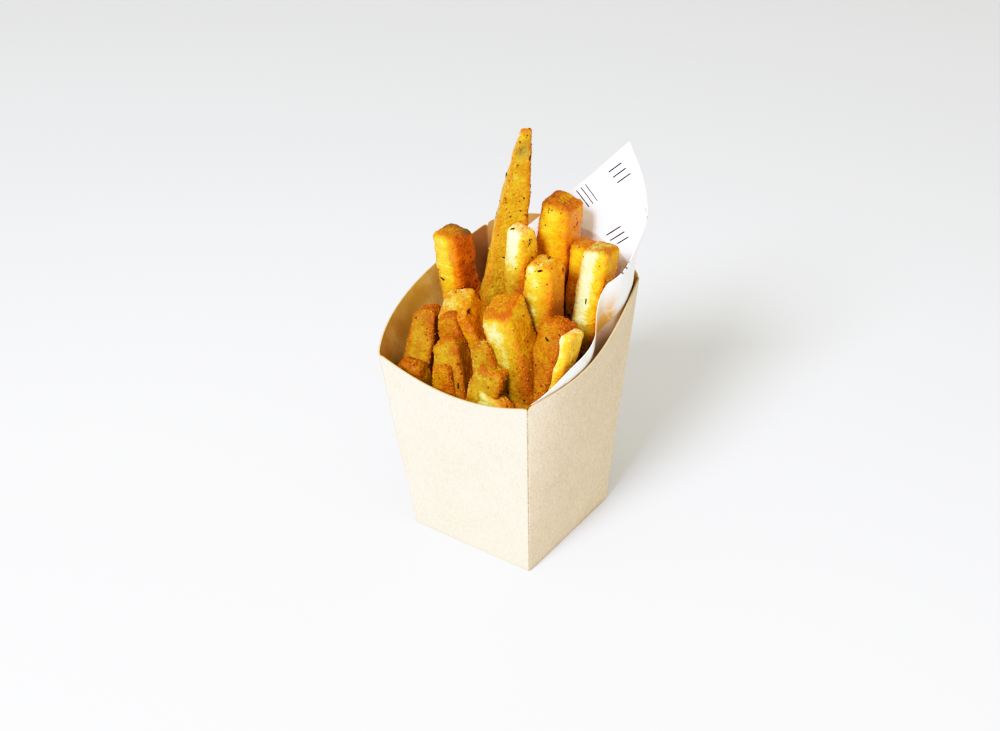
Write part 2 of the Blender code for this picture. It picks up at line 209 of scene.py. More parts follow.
# Facing of the right face that side browns, as painted shade away from the key light
SHADED_SIDE_FACING = (-0.1, 0.75)
SKIN_FACING = (-0.5, 0.3)
CORNER_FROM = 0.5
CORNER_PLACE = 1 - FRY_CORNER * 0.3
CORNER_GLOW = 0.8
CORNER_CRUMBS = 0.6
DIM_REACH = 10 * MM
FRY_SEEN_FROM = 58 * MM
FILLER_STEP = 8.8 * MM
FILLER_COLUMNS = 6
FILLER_LINES = 6
FILLER_SPACING = 7.2 * MM
FILLER_FOOT = 50 * MM
FILLER_TOP = (61, 69)
FILLER_WIDTH = (8.6, 10.2)
FILLER_FLATNESS = 0.94
FILLER_LEAN = 1
FILLER_TURN = 15
FILLER_TAPER = 0.85
FILLER_CUT = (8, 0)
# Low fillers deep in the heap: browner, with painted shade
FILLER_TONE = 0.5
FILLER_SHADE = 0.9

# Core
CORE_CLEAR_OF_BOARD = 1.1 * MM
CORE_CLEAR_OF_PAPER = 1.1 * MM
CORE_TOP = 55 * MM
CORE_TOP_SLOPE = 0.06
CORE_ROWS = 22
CORE_SIDE_STEPS = 22
CORE_CORNER_STEPS = 4
CORE_FLOOR = 0.9 * MM
CORE_DENT = 0.8 * MM
CORE_DENT_SCALE = 160
CORE_TOP_RINGS = (0.85, 0.65, 0.45, 0.25, 0.08)
# The core lies deep in the heap and shows only in the gaps: its brown tone and full shade are painted shade
CORE_LOOKS = {"edge": 0.4, "end": 0.3, "tone": 0.7, "skin": 0.0, "shade": 1.0, "eye": 0.0}

# Seasoning: its shortest piece, width and thickness as shares of a length, and where it lies
HERB_SHAPE = (0.35, 0.34, 0.2)
SPECK_SHAPE = (0.4, 0.8, 0.6)
CRUMB_SHAPE = (0.4, 0.8, 0.7)
CROOKEDNESS = 0.3
SHAKE_SIZE = 0.6 * MM
HERB_SEED = 3
SPECK_SEED = 5
CRUMB_SEED = 8
SIZE_SEED_SHIFT = 7
EXPOSED = (58 * MM, 70 * MM)
EXPOSED_TALL = (110 * MM, 122 * MM)
EXPOSED_TALL_EXTRA = 2
EXPOSED_PATCHES = 70
EXPOSED_SHIFT = Vector((9, 4, 1))
EXPOSED_LEAST = 0.08

# Camera: place and turn worked out from the carton's edges
CAMERA_AZIMUTH = 36.692
CAMERA_ELEVATION = 32.121
CAMERA_ROLL = -1.915
CAMERA_DISTANCE = 527.33 * MM
CAMERA_SHIFT_RIGHT = -4.352 * MM
CAMERA_SHIFT_UP = 52.665 * MM
CAMERA_LENS = 52.056
CAMERA_SENSOR = 36
CAMERA_CLIP = (10 * MM, 20)

# Key light
KEY_SIZE = 0.5
KEY_DISTANCE = 1.3
KEY_TARGET = (0, 0, 60 * MM)

# Floor: a painted pool of light, brightest just before the carton, and darker with distance
FLOOR_BRIGHTEST = (0.04, -0.09, 0)
FLOOR_FADE = (0.12, 0.5)
FLOOR_FAR_SHARE = 0.88
FLOOR_CLOUDS = 160 * MM
FLOOR_CLOUD_SHARE = 0.97
FLOOR_TOOTH = 1.2 * MM
FLOOR_RELIEF = 0.03 * MM
FLOOR_LEVEL_ROWS = (-16.0, -0.5, 0.9)
FLOOR_SWEEP = 0.5
FLOOR_SWEEP_STEPS = 12
FLOOR_WALL_TOP = 2.6
FLOOR_SIDES = (-3.0, -1.0, 1.0, 3.0)
SKY_COLOUR = (1.0, 0.99, 0.89, 1.0)

# Camera response: shares of the brightest light, and what comes out, so that whites roll off softly
BRIGHTEST = 1.6
RESPONSE = [(0.02, 0.025), (0.175, 0.36), (0.344, 0.66), (0.575, 0.91), (0.75, 0.975)]

Fry = namedtuple(
    "Fry", "name top foot width depth turn taper cut tone side end crust skin low shade dark dim radius")


def mix(start, end, share):
    return start + (end - start) * share


def smooth_step(low, high, value):
    share = min(max((value - low) / (high - low), 0), 1)
    return share * share * (3 - 2 * share)


def srgb(red, green, blue):
    """Screen values from 0 to 255 as the linear colour that Blender stores."""
    linear = []
    for value in (red, green, blue):
        share = value / 255
        linear.append(share / 12.92 if share <= 0.04045 else ((share + 0.055) / 1.055) ** 2.4)
    return tuple(linear)


def fry(name, top, foot, width, depth, turn=0, taper=0.9, cut=(0, 0),
        tone=0.6, side=0.1, end=0.0, crust=0.3, skin=0.0, low=0.0, shade=0.0, dark=0.9,
        dim=84, radius=1.6):
    """A fry in millimetres and degrees. tone is how brown it is fried, and side, end and low are how much
    more its right face, its cut end and its lower part are; on the right face and lower down this is painted
    shade. Painted shade, with some fat-soaked flesh, darkens it by shade at the top and by dark at the
    bottom, with the change at height dim. radius rounds its end."""
    return Fry(name, Vector(top) * MM, Vector(foot) * MM, width * MM, depth * MM, turn, taper, cut,
               tone, side, end, crust, skin, low, shade, dark, dim * MM, radius * MM)


FRIES = [
    fry("tall", (3.9, 9, 147), (-8.5, -3, 52), 12.0, 9.5, 38, 0.26, (12, 8),
        0.34, 0.02, -0.04, 0.4, shade=0.64, dark=0.95, dim=100),
    fry("skin_end", (-28.4, 8, 103), (-20, 7, 52), 11.4, 11.2, -8, 0.85, (-8, 6),
        0.28, 0.46, 0.12, 0.6, 1, low=0.1, shade=0.2, dark=0.7, dim=80, radius=2),
    fry("back_block", (9.6, 20, 119.5), (7, 10.5, 52), 12.8, 12.0, 0, 0.85, (-6, 14),
        0.38, 0.2, 0.1, 0.9, low=0.15, dim=96),
    fry("pale", (5.0, 2, 116), (9, -2.5, 52), 10.0, 9.6, 0, 0.66, (-18, 8),
        -0.2, 0.46, 0.0, 0.3, low=0.56, dark=0.95, dim=105, radius=3.2),
    fry("middle", (17.5, -2, 109.5), (20, -9.5, 52), 11.8, 11.4, 4, 0.78, (-4, 10),
        0.18, 0.4, 0.06, 0.5, dark=1, dim=99, radius=2.8),
    fry("right_inner", (20.6, 18.4, 107.0), (18, 10, 52), 8.2, 8.0, 0, 0.85, (0, 6),
        0.44, 0.1, 0.1, 0.6, low=0.1, dim=78),
    fry("right_outer", (27.4, 17.6, 109.0), (22.5, 8, 52), 9.8, 9.2, 3, 0.9, (8, 10),
        0.0, 0.42, 0.14, 0.9, low=0.1, dim=80, radius=2.2),
    fry("lying_end", (-14.8, -8.5, 87.5), (3.6, -9.5, 58), 13.0, 13.0, 6, 0.85, (-16, 34),
        0.28, 0.24, -0.12, 0.9, low=0.1, shade=0.55, dark=0.85, dim=78),
    fry("prominent", (11.0, -17, 98), (21.5, -15, 54), 13.0, 12.0, 2, 0.88, (4, 22),
        0.16, 0.28, 0.38, 1.6, low=0.08, shade=0.5, dark=1, dim=84, radius=2),
    fry("left_front", (-25.4, -10, 83), (-25, -19, 52), 10.6, 9.6, 12, 0.72, (12, 8),
        0.52, 0.1, 0.0, 1.6, low=-0.3, shade=1, dark=0.8, dim=72, radius=2.8),
    fry("front_second", (-10.0, -18.7, 80.5), (-3.5, -22, 52), 12.0, 9.4, 5, 0.74, (6, 4),
        0.35, 0.16, 0.04, 0.8, shade=0.9, dark=0.95, radius=3),
    fry("craggy", (-8.4, -24.2, 73), (-4.4, -24.5, 52), 9.4, 6.4, 0, 0.64, (14, 0),
        0.48, 0.1, 0.05, 4.0, shade=0.85),
    fry("front_third", (6.2, -21.2, 84.6), (14.5, -22.4, 52), 11.6, 7.6, 0, 0.74, (8, 8),
        0.3, 0.16, -0.04, 1.4, shade=0.9, dark=0.95, radius=2.2),
    fry("front_fourth", (12.2, -24, 78.6), (4.5, -23, 52), 11.4, 8.8, 8, 0.88, (4, 10),
        0.26, 0.14, 0.1, 1.2, shade=0.8),
    fry("front_low", (14.2, -26, 70), (8, -23.5, 50), 15.0, 6.6, 0, 0.8, (-14, 0),
        0.16, 0.1, 0.05, 0.3, shade=0.4, dark=0.55, radius=2.4),
    fry("right_front", (28.4, -8.2, 93.5), (21, -21, 54), 10.8, 9.8, -5, 0.78, (10, 8),
        0.54, 0.1, 0.1, 2.0, low=-0.04, shade=0.85, dark=0.95),
    fry("right_wall", (31.4, -9.5, 91.5), (24.8, -19.5, 56), 9.4, 8.0, 0, 0.88, (14, 12),
        -0.02, 0.3, 0.0, 1.0, low=0.08, dim=76, radius=2.4),
    fry("left_second", (-13.4, -12.8, 85), (-4, -15, 52), 9.6, 9.0, 8, 0.75, (14, 0),
        0.52, 0.1, 0.06, 1.4, shade=0.9),
    fry("left_corner", (-23.4, -24, 68.5), (-18, -21.5, 48), 9.6, 7.2, 0, 0.8, (-12, 0),
        0.42, 0.1, 0.0, 0.6, shade=0.55, radius=2.4),
    fry("back_left", (-22, 21, 72), (-19, 18, 50), 10.6, 10.2, 10, 0.85, (8, 0), 0.5, 0.1, 0.1, 0.4),
    fry("back_centre", (-5, 19, 80), (-8, 15, 50), 10.4, 10.0, -6, 0.85, (10, 0), 0.45, 0.1, 0.1, 0.4),
    fry("back_right", (22, 24, 84), (18, 17, 50), 9.6, 9.2, 8, 0.85, (-8, 0), 0.45, 0.1, 0.1, 0.4),
]
EYE_SHARE = 0.925
EYE_LENGTH = 3.4 * MM
EYE_DIRECTION = (0.62, -0.78, 0)
EYE_DEPTH = 0.7 * MM
EYE_FALL_ALONG = 2
EYE_FALL_ASIDE = 18


def length_setting(name, description, millimetres):
    return bpy.props.FloatProperty(
        name=name, description=description, default=millimetres * MM, min=0, unit="LENGTH", precision=4)


def share_setting(name, description, default, highest=1.0):
    return bpy.props.FloatProperty(
        name=name, description=description, default=default, min=0, max=highest, subtype="FACTOR")


def count_setting(name, description, default):
    return bpy.props.IntProperty(name=name, description=description, default=default, min=0)


def power_setting(name, description, watts):
    return bpy.props.FloatProperty(name=name, description=description, default=watts, min=0, unit="POWER")


def colour_setting(name, description, colour):
    return bpy.props.FloatVectorProperty(
        name=name, description=description, default=colour, size=3, min=0, max=1, subtype="COLOR")


class CartonSettings(bpy.types.PropertyGroup):
    """Sizes and colours of the board carton"""

    base_side: length_setting("Base side", "Side of the square base", 50)
    board_thickness: length_setting("Board", "Thickness of the board", 0.5)
    front_corner: length_setting("Front corners", "Height of the front corners", 73.2)
    front_scoop: length_setting("Front scoop", "How far the front rim dips in the middle", 6.8)
    back_corner: length_setting("Back corners", "Height of the back corners", 94)
    back_arch: length_setting("Back arch", "How far the back rim rises in the middle", 9.8)
    right_dip: length_setting("Right dip", "How much lower the right rim runs than the left one", 2.8)
    side_bow: length_setting("Side bow", "How far the fries push the side rims outwards", 7.2)
    outside: colour_setting("Outside", "Colour of the board outside", srgb(205, 183, 152))
    inside: colour_setting("Inside", "Colour of the board inside", srgb(200, 158, 84))
    grease: colour_setting("Grease", "Colour of the board where fat has soaked in", srgb(172, 126, 38))
    # Painted shade for the inside far corner, at the back on the left, where the walls shade it
    shaded_far_corner: colour_setting("Far corner", "Colour of the soaked far corner", srgb(134, 86, 44))
    cut_edge: colour_setting("Cut edge", "Colour of the board's cut rim", srgb(186, 156, 106))
    crease: colour_setting("Crease", "Colour of the worn folds", srgb(98, 80, 50))


class PaperSettings(bpy.types.PropertyGroup):
    """Sizes and colours of the loose paper liner"""

    thickness: length_setting("Thickness", "Thickness of the sheet", 0.16)
    gap: length_setting("Gap", "Gap between the board and the sheet", 0.75)
    tip: length_setting("Tip", "Height of the sheet's standing corner", 138.5)
    paper: colour_setting("Paper", "Colour of the sheet", srgb(240, 238, 234))
    ink: colour_setting("Ink", "Colour of the printed strokes", srgb(38, 36, 36))
    fat: colour_setting("Fat", "Colour of the sheet where fat has soaked in", srgb(222, 206, 168))
    # Partly the board showing through the thin sheet, partly painted shade where the board blocks light from
    # behind
    backed_and_shaded: colour_setting("Backed", "Colour of the sheet where board shows through", srgb(206, 184, 168))
    # Painted warm light bounced from the fries and the board, with painted shade: low in the sheet and in the
    # gap behind its fold
    painted_glow: colour_setting("Glow", "Colour of the sheet where fries show through", srgb(206, 150, 80))


class FrySettings(bpy.types.PropertyGroup):
    """Sizes and colours of the fries and their core"""

    lump: length_setting("Lumps", "Height of the broad lumps", 0.4)
    lump_size: length_setting("Lump size", "Size of the broad lumps", 5)
    blister: length_setting("Blisters", "Height of the crisp blisters", 0.20)
    blister_size: length_setting("Blister size", "Size of the crisp blisters", 1.5)
    pale: colour_setting("Pale", "Colour of the palest flesh", srgb(240, 226, 146))
    yellow: colour_setting("Yellow", "Colour of the lightly fried flesh", srgb(228, 176, 44))
    golden: colour_setting("Golden", "Colour of the golden flesh", srgb(222, 147, 7))
    amber: colour_setting("Amber", "Colour of well fried faces", srgb(212, 110, 1))
    brown: colour_setting("Brown", "Colour of crisp edges", srgb(164, 70, 2))
    dark: colour_setting("Dark", "Colour of the darkest crust", srgb(108, 46, 4))
    # Painted glow along the edges, partly their crisper crust
    painted_glow: colour_setting("Glow", "Colour of thin edges that light shines through", srgb(212, 106, 2))
    # Painted shade, with some fat-soaked flesh: this tint darkens the fries by their shade number
    fat: colour_setting("Fat", "Tint of the parts that soaked up more fat", (0.32, 0.31, 0.12))
    skin: colour_setting("Skin", "Colour of potato skin", srgb(92, 66, 20))
    eye: colour_setting("Eye", "Colour of the potato's eye", srgb(120, 104, 44))


class SeasoningSettings(bpy.types.PropertyGroup):
    """Amounts, sizes and colours of what is scattered on the fries"""

    herbs: count_setting("Herbs", "Herb flecks on each square decimetre", 300)
    herb_length: length_setting("Herb length", "Length of the longest herb flecks", 2.8)
    specks: count_setting("Specks", "Ground specks on each square decimetre", 1200)
    speck_size: length_setting("Speck size", "Size of the largest specks", 0.85)
    crumbs: count_setting("Crumbs", "Crust crumbs on each square decimetre of crusty face", 8000)
    crumb_size: length_setting("Crumb size", "Size of the largest crumbs", 0.75)
    herb: colour_setting("Herb", "Colour of the herb flecks", srgb(52, 34, 12))
    speck: colour_setting("Speck", "Colour of the ground specks", srgb(84, 40, 10))
    # Painted light: crumbs are made paler, as they stand up into the light
    crumb_paleness: share_setting("Crumb paleness", "How much paler the crumbs are than the crust below", 1.0)


class StageSettings(bpy.types.PropertyGroup):
    """Floor and lights"""

    floor: colour_setting("Floor", "Colour of the floor", srgb(208, 207, 205))
    key: power_setting("Key light", "Power of the light from the front", 31)
    key_azimuth: bpy.props.FloatProperty(
        name="Key azimuth", description="Turn of the key light round the carton", default=math.radians(3),
        subtype="ANGLE")
    key_elevation: bpy.props.FloatProperty(
        name="Key elevation", description="Height angle of the key light", default=math.radians(40),
        subtype="ANGLE")
    key_colour: colour_setting("Key colour", "Colour of the key light", (0.76, 0.81, 1.0))
    sky: share_setting("Sky", "Strength of the light from all round", 0.96, 4)


class Socket:
    """A node's output on which Python's arithmetic adds Math nodes."""

    def __init__(self, graph, output):
        self.graph = graph
        self.output = output

    def maths(self, operation, *values):
        return self.graph.node("ShaderNodeMath", {"operation": operation}, dict(enumerate(values)))

    def __add__(self, other):
        return self.maths("ADD", self, other)

    def __radd__(self, other):
        return self.maths("ADD", other, self)

    def __sub__(self, other):
        return self.maths("SUBTRACT", self, other)

    def __rsub__(self, other):
        return self.maths("SUBTRACT", other, self)

    def __mul__(self, other):
        return self.maths("MULTIPLY", self, other)

    def __rmul__(self, other):
        return self.maths("MULTIPLY", other, self)

    def __truediv__(self, other):
        return self.maths("DIVIDE", self, other)

    def __rtruediv__(self, other):
        return self.maths("DIVIDE", other, self)

    def __abs__(self):
        return self.maths("ABSOLUTE", self)

    def fraction(self):
        return self.maths("FRACT", self)

    def floor(self):
        return self.maths("FLOOR", self)

    def ramp(self, low, high, start=0.0, end=1.0):
        """Rises smoothly from start at low to end at high."""
        return self.graph.node(
            "ShaderNodeMapRange", {"interpolation_type": "SMOOTHSTEP"},
            {"Value": self, "From Min": low, "From Max": high, "To Min": start, "To Max": end})


class Graph:
    """A node tree. Any node comes from one method, and the rest are short names for common ones."""

    def __init__(self, tree):
        self.tree = tree

    def node(self, kind, settings=None, inputs=None, output=0):
        node = self.tree.nodes.new(kind)
        for name, value in (settings or {}).items():
            if name == "stops":
                set_stops(node.color_ramp, value)
            else:
                setattr(node, name, value)
        for key, value in (inputs or {}).items():
            self.feed(node.inputs[key], value)
        return Socket(self, node.outputs[output])

    def feed(self, socket, value):
        if isinstance(value, Socket):
            self.tree.links.new(value.output, socket)
        else:
            socket.default_value = value

    def noise(self, place, size, detail=3.0, roughness=0.5):
        """Noise from 0 to 1 whose bumps measure about size."""
        return self.node("ShaderNodeTexNoise", {}, {
            "Vector": place, "Scale": 1 / size, "Detail": detail, "Roughness": roughness})

    def cells(self, place, size):
        """Distance from the nearest of many random points that are about size apart."""
        return self.node("ShaderNodeTexVoronoi", {}, {"Vector": place, "Scale": 1 / size}, "Distance")

    def blend(self, share, first, second):
        return self.node("ShaderNodeMix", {"data_type": "RGBA"}, {0: share, 6: first, 7: second}, 2)

    def place(self):
        """The object's own coordinates."""
        return self.node("ShaderNodeTexCoord", output="Object")

    def axis(self, place, name):
        return self.node("ShaderNodeSeparateXYZ", {}, {"Vector": place}, name)

    def attribute(self, name):
        return self.node("ShaderNodeAttribute", {"attribute_name": name}, output="Fac")

    def given(self, name):
        """A number that the mesh holds at each point, for Geometry Nodes."""
        return self.node("GeometryNodeInputNamedAttribute", {"data_type": "FLOAT"}, {"Name": name})

    def drawn(self, low, high, seed):
        """A random number for each point."""
        return self.node("FunctionNodeRandomValue", {"data_type": "FLOAT"}, {2: low, 3: high, "Seed": seed}, 1)

    def finish(self, shader, colour, roughness, relief, depth, strength):
        """Feeds a shader its colour and roughness, and a relief of some depth as a bump."""
        self.feed(shader.inputs["Base Color"], colour)
        self.feed(shader.inputs["Roughness"], roughness)
        bump = self.node("ShaderNodeBump", {}, {"Height": relief, "Distance": depth, "Strength": strength})
        self.feed(shader.inputs["Normal"], bump)


def set_stops(ramp, stops):
    """Gives a colour ramp its stops, a list of places and colours."""
    while len(ramp.elements) < len(stops):
        ramp.elements.new(1.0)
    for element, (place, colour) in zip(ramp.elements, stops):
        element.position = place
        element.color = colour


def rgba(colour, strength=1.0):
    """A colour with full alpha, made lighter or darker by strength."""
    return (*[min(channel * strength, 1) for channel in colour], 1.0)


def new_material(name, roughness=0.5):
    """A material, its graph and its Principled shader."""
    material = bpy.data.materials.new(name)
    material.use_nodes = True
    shader = material.node_tree.nodes["Principled BSDF"]
    shader.inputs["Roughness"].default_value = roughness
    return material, Graph(material.node_tree), shader


def board_material(name, board, soaked, crease, fat_amount, corner=None):
    """Kraft board: fine fibre speckle, soft clouds, darker worn folds and, inside, soaked patches and
    painted shade in the far corner.
    """
    material, graph, shader = new_material(name)
    place = graph.place()
    clouds = graph.noise(place, BOARD_CLOUDS, 3)
    fibres = graph.noise(place, BOARD_FIBRES, 4, 0.7)
    stretched = graph.node("ShaderNodeMapping", {}, {"Vector": place, "Scale": BOARD_THREAD_STRETCH})
    threads = graph.noise(stretched, BOARD_THREADS, 2, 0.6)
    flecks = graph.cells(place, BOARD_FLECKS).ramp(*BOARD_FLECK_EDGE, 1, 0)
    tint = 0.5 + (clouds - 0.5) * 0.35 + (fibres - 0.5) * 2.0 + (threads - 0.5) * 0.8
    colour = graph.blend(tint.ramp(0.1, 0.9), rgba(board, BOARD_DEEP), rgba(board, BOARD_LIGHT))
    colour = graph.blend(flecks * BOARD_FLECK_SHARE, colour, rgba(board, BOARD_FLECK))
    soak = graph.noise(place, BOARD_SOAKS, 2).ramp(0.3, 0.7) * fat_amount
    colour = graph.blend(soak, colour, rgba(soaked))
    # Painted shade: the inside far corner, at the back on the left, is darkened
    if corner:
        corner_shade = graph.axis(place, "Y").ramp(*CORNER_SHADE_BACK)
        corner_shade = corner_shade * graph.axis(place, "X").ramp(*CORNER_SHADE_LEFT, 1, 0)
        colour = graph.blend(corner_shade * CORNER_SHADE_SHARE, colour, rgba(corner))
    fold = graph.attribute("fold") * graph.noise(place, BOARD_WEAR, 3).ramp(0.3, 0.6, 0.45, 1)
    colour = graph.blend(fold * BOARD_WEAR_SHARE, colour, rgba(crease))
    roughness = 0.82 - soak * 0.3 + (fibres - 0.5) * 0.15
    relief = fibres * 0.5 + threads * 0.3 + clouds * 0.6 - fold * 0.5
    graph.finish(shader, colour, roughness, relief, BOARD_RELIEF, 0.7)
    shader.inputs["Specular IOR Level"].default_value = BOARD_SHINE
    return material


def cut_edge_material(settings):
    """The rim where the board was cut: pale, with fine layers."""
    material, graph, shader = new_material("board_cut_edge")
    place = graph.place()
    fibres = graph.noise(place, CUT_FIBRES, 3, 0.7)
    colour = graph.blend(
        fibres.ramp(0.3, 0.7), rgba(settings.cut_edge, CUT_WORN), rgba(settings.cut_edge))
    graph.finish(shader, colour, 0.8 + (fibres - 0.5) * 0.2, fibres, CUT_RELIEF, 0.6)
    return material


def printed_strokes(graph, across, up):
    """A generic print: groups of three short strokes that turn by a right angle from group to group."""
    right = (across + up) * (1 / PRINT_CELL)
    left = (across - up) * (1 / PRINT_CELL)
    along = (right.fraction() - 0.5) * PRINT_CELL
    aside = (left.fraction() - 0.5) * PRINT_CELL
    odd = ((right.floor() + left.floor()) * 0.5).fraction() * 2
    stroke = mix(along, aside, odd)
    row = mix(aside, along, odd)
    line = abs((row / PRINT_SPACING + 0.5).fraction() - 0.5) * PRINT_SPACING
    ink = line.ramp(*PRINT_LINE_EDGE, 1, 0)
    ink = ink * abs(stroke).ramp(*PRINT_STROKE_END, 1, 0)
    return ink * abs(row).ramp(PRINT_SPACING * 1.4, PRINT_SPACING * 1.45, 1, 0)


def paper_material(settings):
    """Thin white paper: soft crinkles, fine tooth, fat spots and thin printed strokes, with painted shade
    below the rim and a painted glow of warm bounced light low down and behind the fold.
    """
    material, graph, shader = new_material("greaseproof_paper")
    place = graph.place()
    sheet = graph.node("ShaderNodeUVMap", {"uv_map": "sheet"})
    across = graph.axis(sheet, "X") * (UV_SPAN / MM)
    up = graph.axis(sheet, "Y") * (UV_SPAN / MM)
    tooth = graph.noise(place, PAPER_TOOTH, 3, 0.6)
    crinkles = abs(graph.noise(place, PAPER_CREASES, 3, 0.55) - 0.5).ramp(0.0, 0.06)
    pressed = crinkles.ramp(0, 1, 0.8, 1)
    fat = graph.noise(place, PAPER_FAT_SPOTS, 2).ramp(0.56, 0.66) * up.ramp(*PAPER_FAT_BELOW)
    colour = graph.blend(
        tooth.ramp(0.3, 0.7) * 0.25, rgba(settings.paper), rgba(settings.paper, PAPER_TOOTH_DARK))
    colour = graph.blend(fat * 0.55, colour, rgba(settings.fat))
    clear = graph.attribute("clear")
    # Below the rim behind it: partly the board showing through, partly painted shade where the board blocks
    # light from behind
    colour = graph.blend(clear.ramp(*BACKED_AND_SHADED_BELOW, 0.85, 0), colour, rgba(settings.backed_and_shaded))
    # Painted warm bounce light in the shade low in the sheet, and behind the fold just above the rim
    colour = graph.blend(clear.ramp(*PAINTED_GLOW_BELOW, 0.85, 0) * pressed, colour, rgba(settings.painted_glow))
    painted_glow = graph.attribute("gap").ramp(0.05, 0.6) * clear.ramp(*PAINTED_GLOW_ON_FOLD, 1, 0) * clear.ramp(-1, 0)
    colour = graph.blend(painted_glow * pressed, colour, rgba(settings.painted_glow))
    ink = printed_strokes(graph, across, up) * tooth.ramp(0.25, 0.4, 0.7, 1)
    ink = ink * up.ramp(PRINT_FROM, PRINT_FROM + 1)
    colour = graph.blend(ink, colour, rgba(settings.ink))
    roughness = 0.62 - fat * 0.2 + (tooth - 0.5) * 0.1
    graph.finish(shader, colour, roughness, crinkles + tooth * 0.25, PAPER_RELIEF, 0.5)
    shader.inputs["Specular IOR Level"].default_value = PAPER_SHINE
    return material


def potato_material(settings, name, raised):
    """Fried potato: pale to brown by how well each place is fried, with a painted glow on the edges, partly
    crisper crust, painted shade by the shade number, glossy fat and fine blisters. Crumbs, which are raised
    above the crust, are painted paler and with less painted shade, as raised pieces catch more light."""
    material, graph, shader = new_material(name)
    place = graph.place()
    edge, end, tone, skin, shade, eye = [
        graph.attribute(name) for name in ("edge", "end", "tone", "skin", "shade", "eye")]
    broad = graph.noise(place, POTATO_BROAD, 2)
    mottle = graph.noise(place, POTATO_MOTTLE, 4, 0.6)
    grain = graph.noise(place, POTATO_GRAIN, 3, 0.7)
    pores = graph.cells(place, POTATO_PORES).ramp(0.1, 0.5)
    # Painted light: raised crumbs are made paler
    fried = tone - raised * CRUMB_PALER + (broad - 0.5) * 0.45
    fried = fried + (mottle - 0.5) * (0.75 - tone * 0.5) + (grain - 0.5) * 0.3
    fried = fried + end * grain.ramp(0.45, 0.7) * 0.1
    stops = [(place_on_ramp, rgba(getattr(settings, name))) for name, place_on_ramp in FRIED_STOPS]
    colour = graph.node("ShaderNodeValToRGB", {"stops": stops}, {"Fac": fried})
    # Painted glow: the edges turn orange as if light shone through them, partly their crisper crust
    colour = graph.blend(edge * mottle.ramp(0.3, 0.6, 0.3, 0.85), colour, rgba(settings.painted_glow))
    # Painted shade, with some fat-soaked flesh: darker by the shade number, lower down, on the cut ends and on
    # whole fries
    soaked = shade * broad.ramp(0.2, 0.7, 0.85, 1.0) * (1 - raised * CRUMB_LESS_SHADE)
    soaked = soaked + (grain - 0.5) * 0.4 + (mottle - 0.5) * 0.15
    fat_and_shade_colour = graph.node("ShaderNodeMix", {"data_type": "RGBA", "blend_type": "MULTIPLY"},
                       {0: soaked, 6: colour, 7: rgba(settings.fat)}, 2)
    colour = graph.blend(skin * mottle.ramp(0.3, 0.6, 0.5, 1), fat_and_shade_colour, rgba(settings.skin))
    colour = graph.blend(eye * 0.85, colour, rgba(settings.eye))
    roughness = 0.26 + grain * 0.2 + end * 0.14 + edge * 0.04
    relief = mottle * 0.9 + grain * 1.3 + pores * 0.25
    graph.finish(shader, colour, roughness, relief, POTATO_RELIEF, 0.9)
    graph.feed(shader.inputs["Coat Weight"], (1 - soaked) * mottle.ramp(0.4, 0.6, 0.0, 0.4))
    for name, value in POTATO_BODY.items():
        shader.inputs[name].default_value = value
    return material


def scatter_material(name, colour):
    """Small dry pieces that differ in tone from place to place."""
    material, graph, shader = new_material(name)
    shader.inputs["Specular IOR Level"].default_value = SEASONING_SHINE
    place = graph.place()
    patches = graph.noise(place, SEASONING_PATCHES, 2).ramp(0.3, 0.7)
    grain = graph.noise(place, SEASONING_GRAIN, 2)
    tinted = graph.blend(patches, rgba(colour, 1 - SEASONING_SPREAD), rgba(colour, 1 + SEASONING_SPREAD))
    graph.finish(shader, tinted, 0.9 + (grain - 0.5) * 0.2, grain, SEASONING_RELIEF, 0.5)
    return material


def floor_material(settings):
    """A plain pale painted floor with a faint tooth, and a painted pool of light that darkens with distance."""
    material, graph, shader = new_material("pale_floor")
    place = graph.place()
    clouds = graph.noise(place, FLOOR_CLOUDS, 2)
    away = graph.node(
        "ShaderNodeVectorMath", {"operation": "DISTANCE"}, {0: place, 1: FLOOR_BRIGHTEST}, "Value")
    tooth = graph.noise(place, FLOOR_TOOTH, 2)
    colour = graph.blend(clouds, rgba(settings.floor, FLOOR_CLOUD_SHARE), rgba(settings.floor))
    # Painted light: the floor darkens away from a bright spot just before the carton
    colour = graph.blend(away.ramp(*FLOOR_FADE), colour, rgba(settings.floor, FLOOR_FAR_SHARE))
    graph.finish(shader, colour, 0.6 + (tooth - 0.5) * 0.1, tooth, FLOOR_RELIEF, 0.3)
    return material


def add_object(name, data, materials=()):
    thing = bpy.data.objects.new(name, data)
    bpy.context.scene.collection.objects.link(thing)
    for material in materials:
        data.materials.append(material)
    return thing


def object_from(shape, name, materials):
    """Turns a bmesh into an object."""
    mesh = bpy.data.meshes.new(name)
    shape.to_mesh(mesh)
    shape.free()
    return add_object(name, mesh, materials)


def quads(rows, closed):
    """The corners of the faces between neighbouring rows; a closed row's end also joins its start."""
    for first, second in zip(rows, rows[1:]):
        for i in range(len(first) if closed else len(first) - 1):
            j = (i + 1) % len(first)
            yield first[i], first[j], second[j], second[i]


def store(mesh, name, values):
    """Stores one number for each vertex."""
    layer = mesh.attributes.new(name, "FLOAT", "POINT")
    layer.data.foreach_set("value", values)


def make_plain(thing, sharpest=None):
    """Applies the object's modifiers, so that only its final mesh is left; edges over sharpest look crisp."""
    bpy.context.view_layer.update()
    seen = thing.evaluated_get(bpy.context.evaluated_depsgraph_get())
    final = bpy.data.meshes.new_from_object(seen)
    thing.modifiers.clear()
    before = thing.data
    thing.data = final
    final.name = thing.name
    if sharpest:
        final.set_sharp_from_angle(angle=sharpest)
    bpy.data.meshes.remove(before)
    return thing


def dress(thing, slot, *nodes):
    """Rides the piece on the carton's body and hides the solids that it stands for; slot is not used."""
    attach(thing, "root")
    if nodes:
        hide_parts(*nodes)


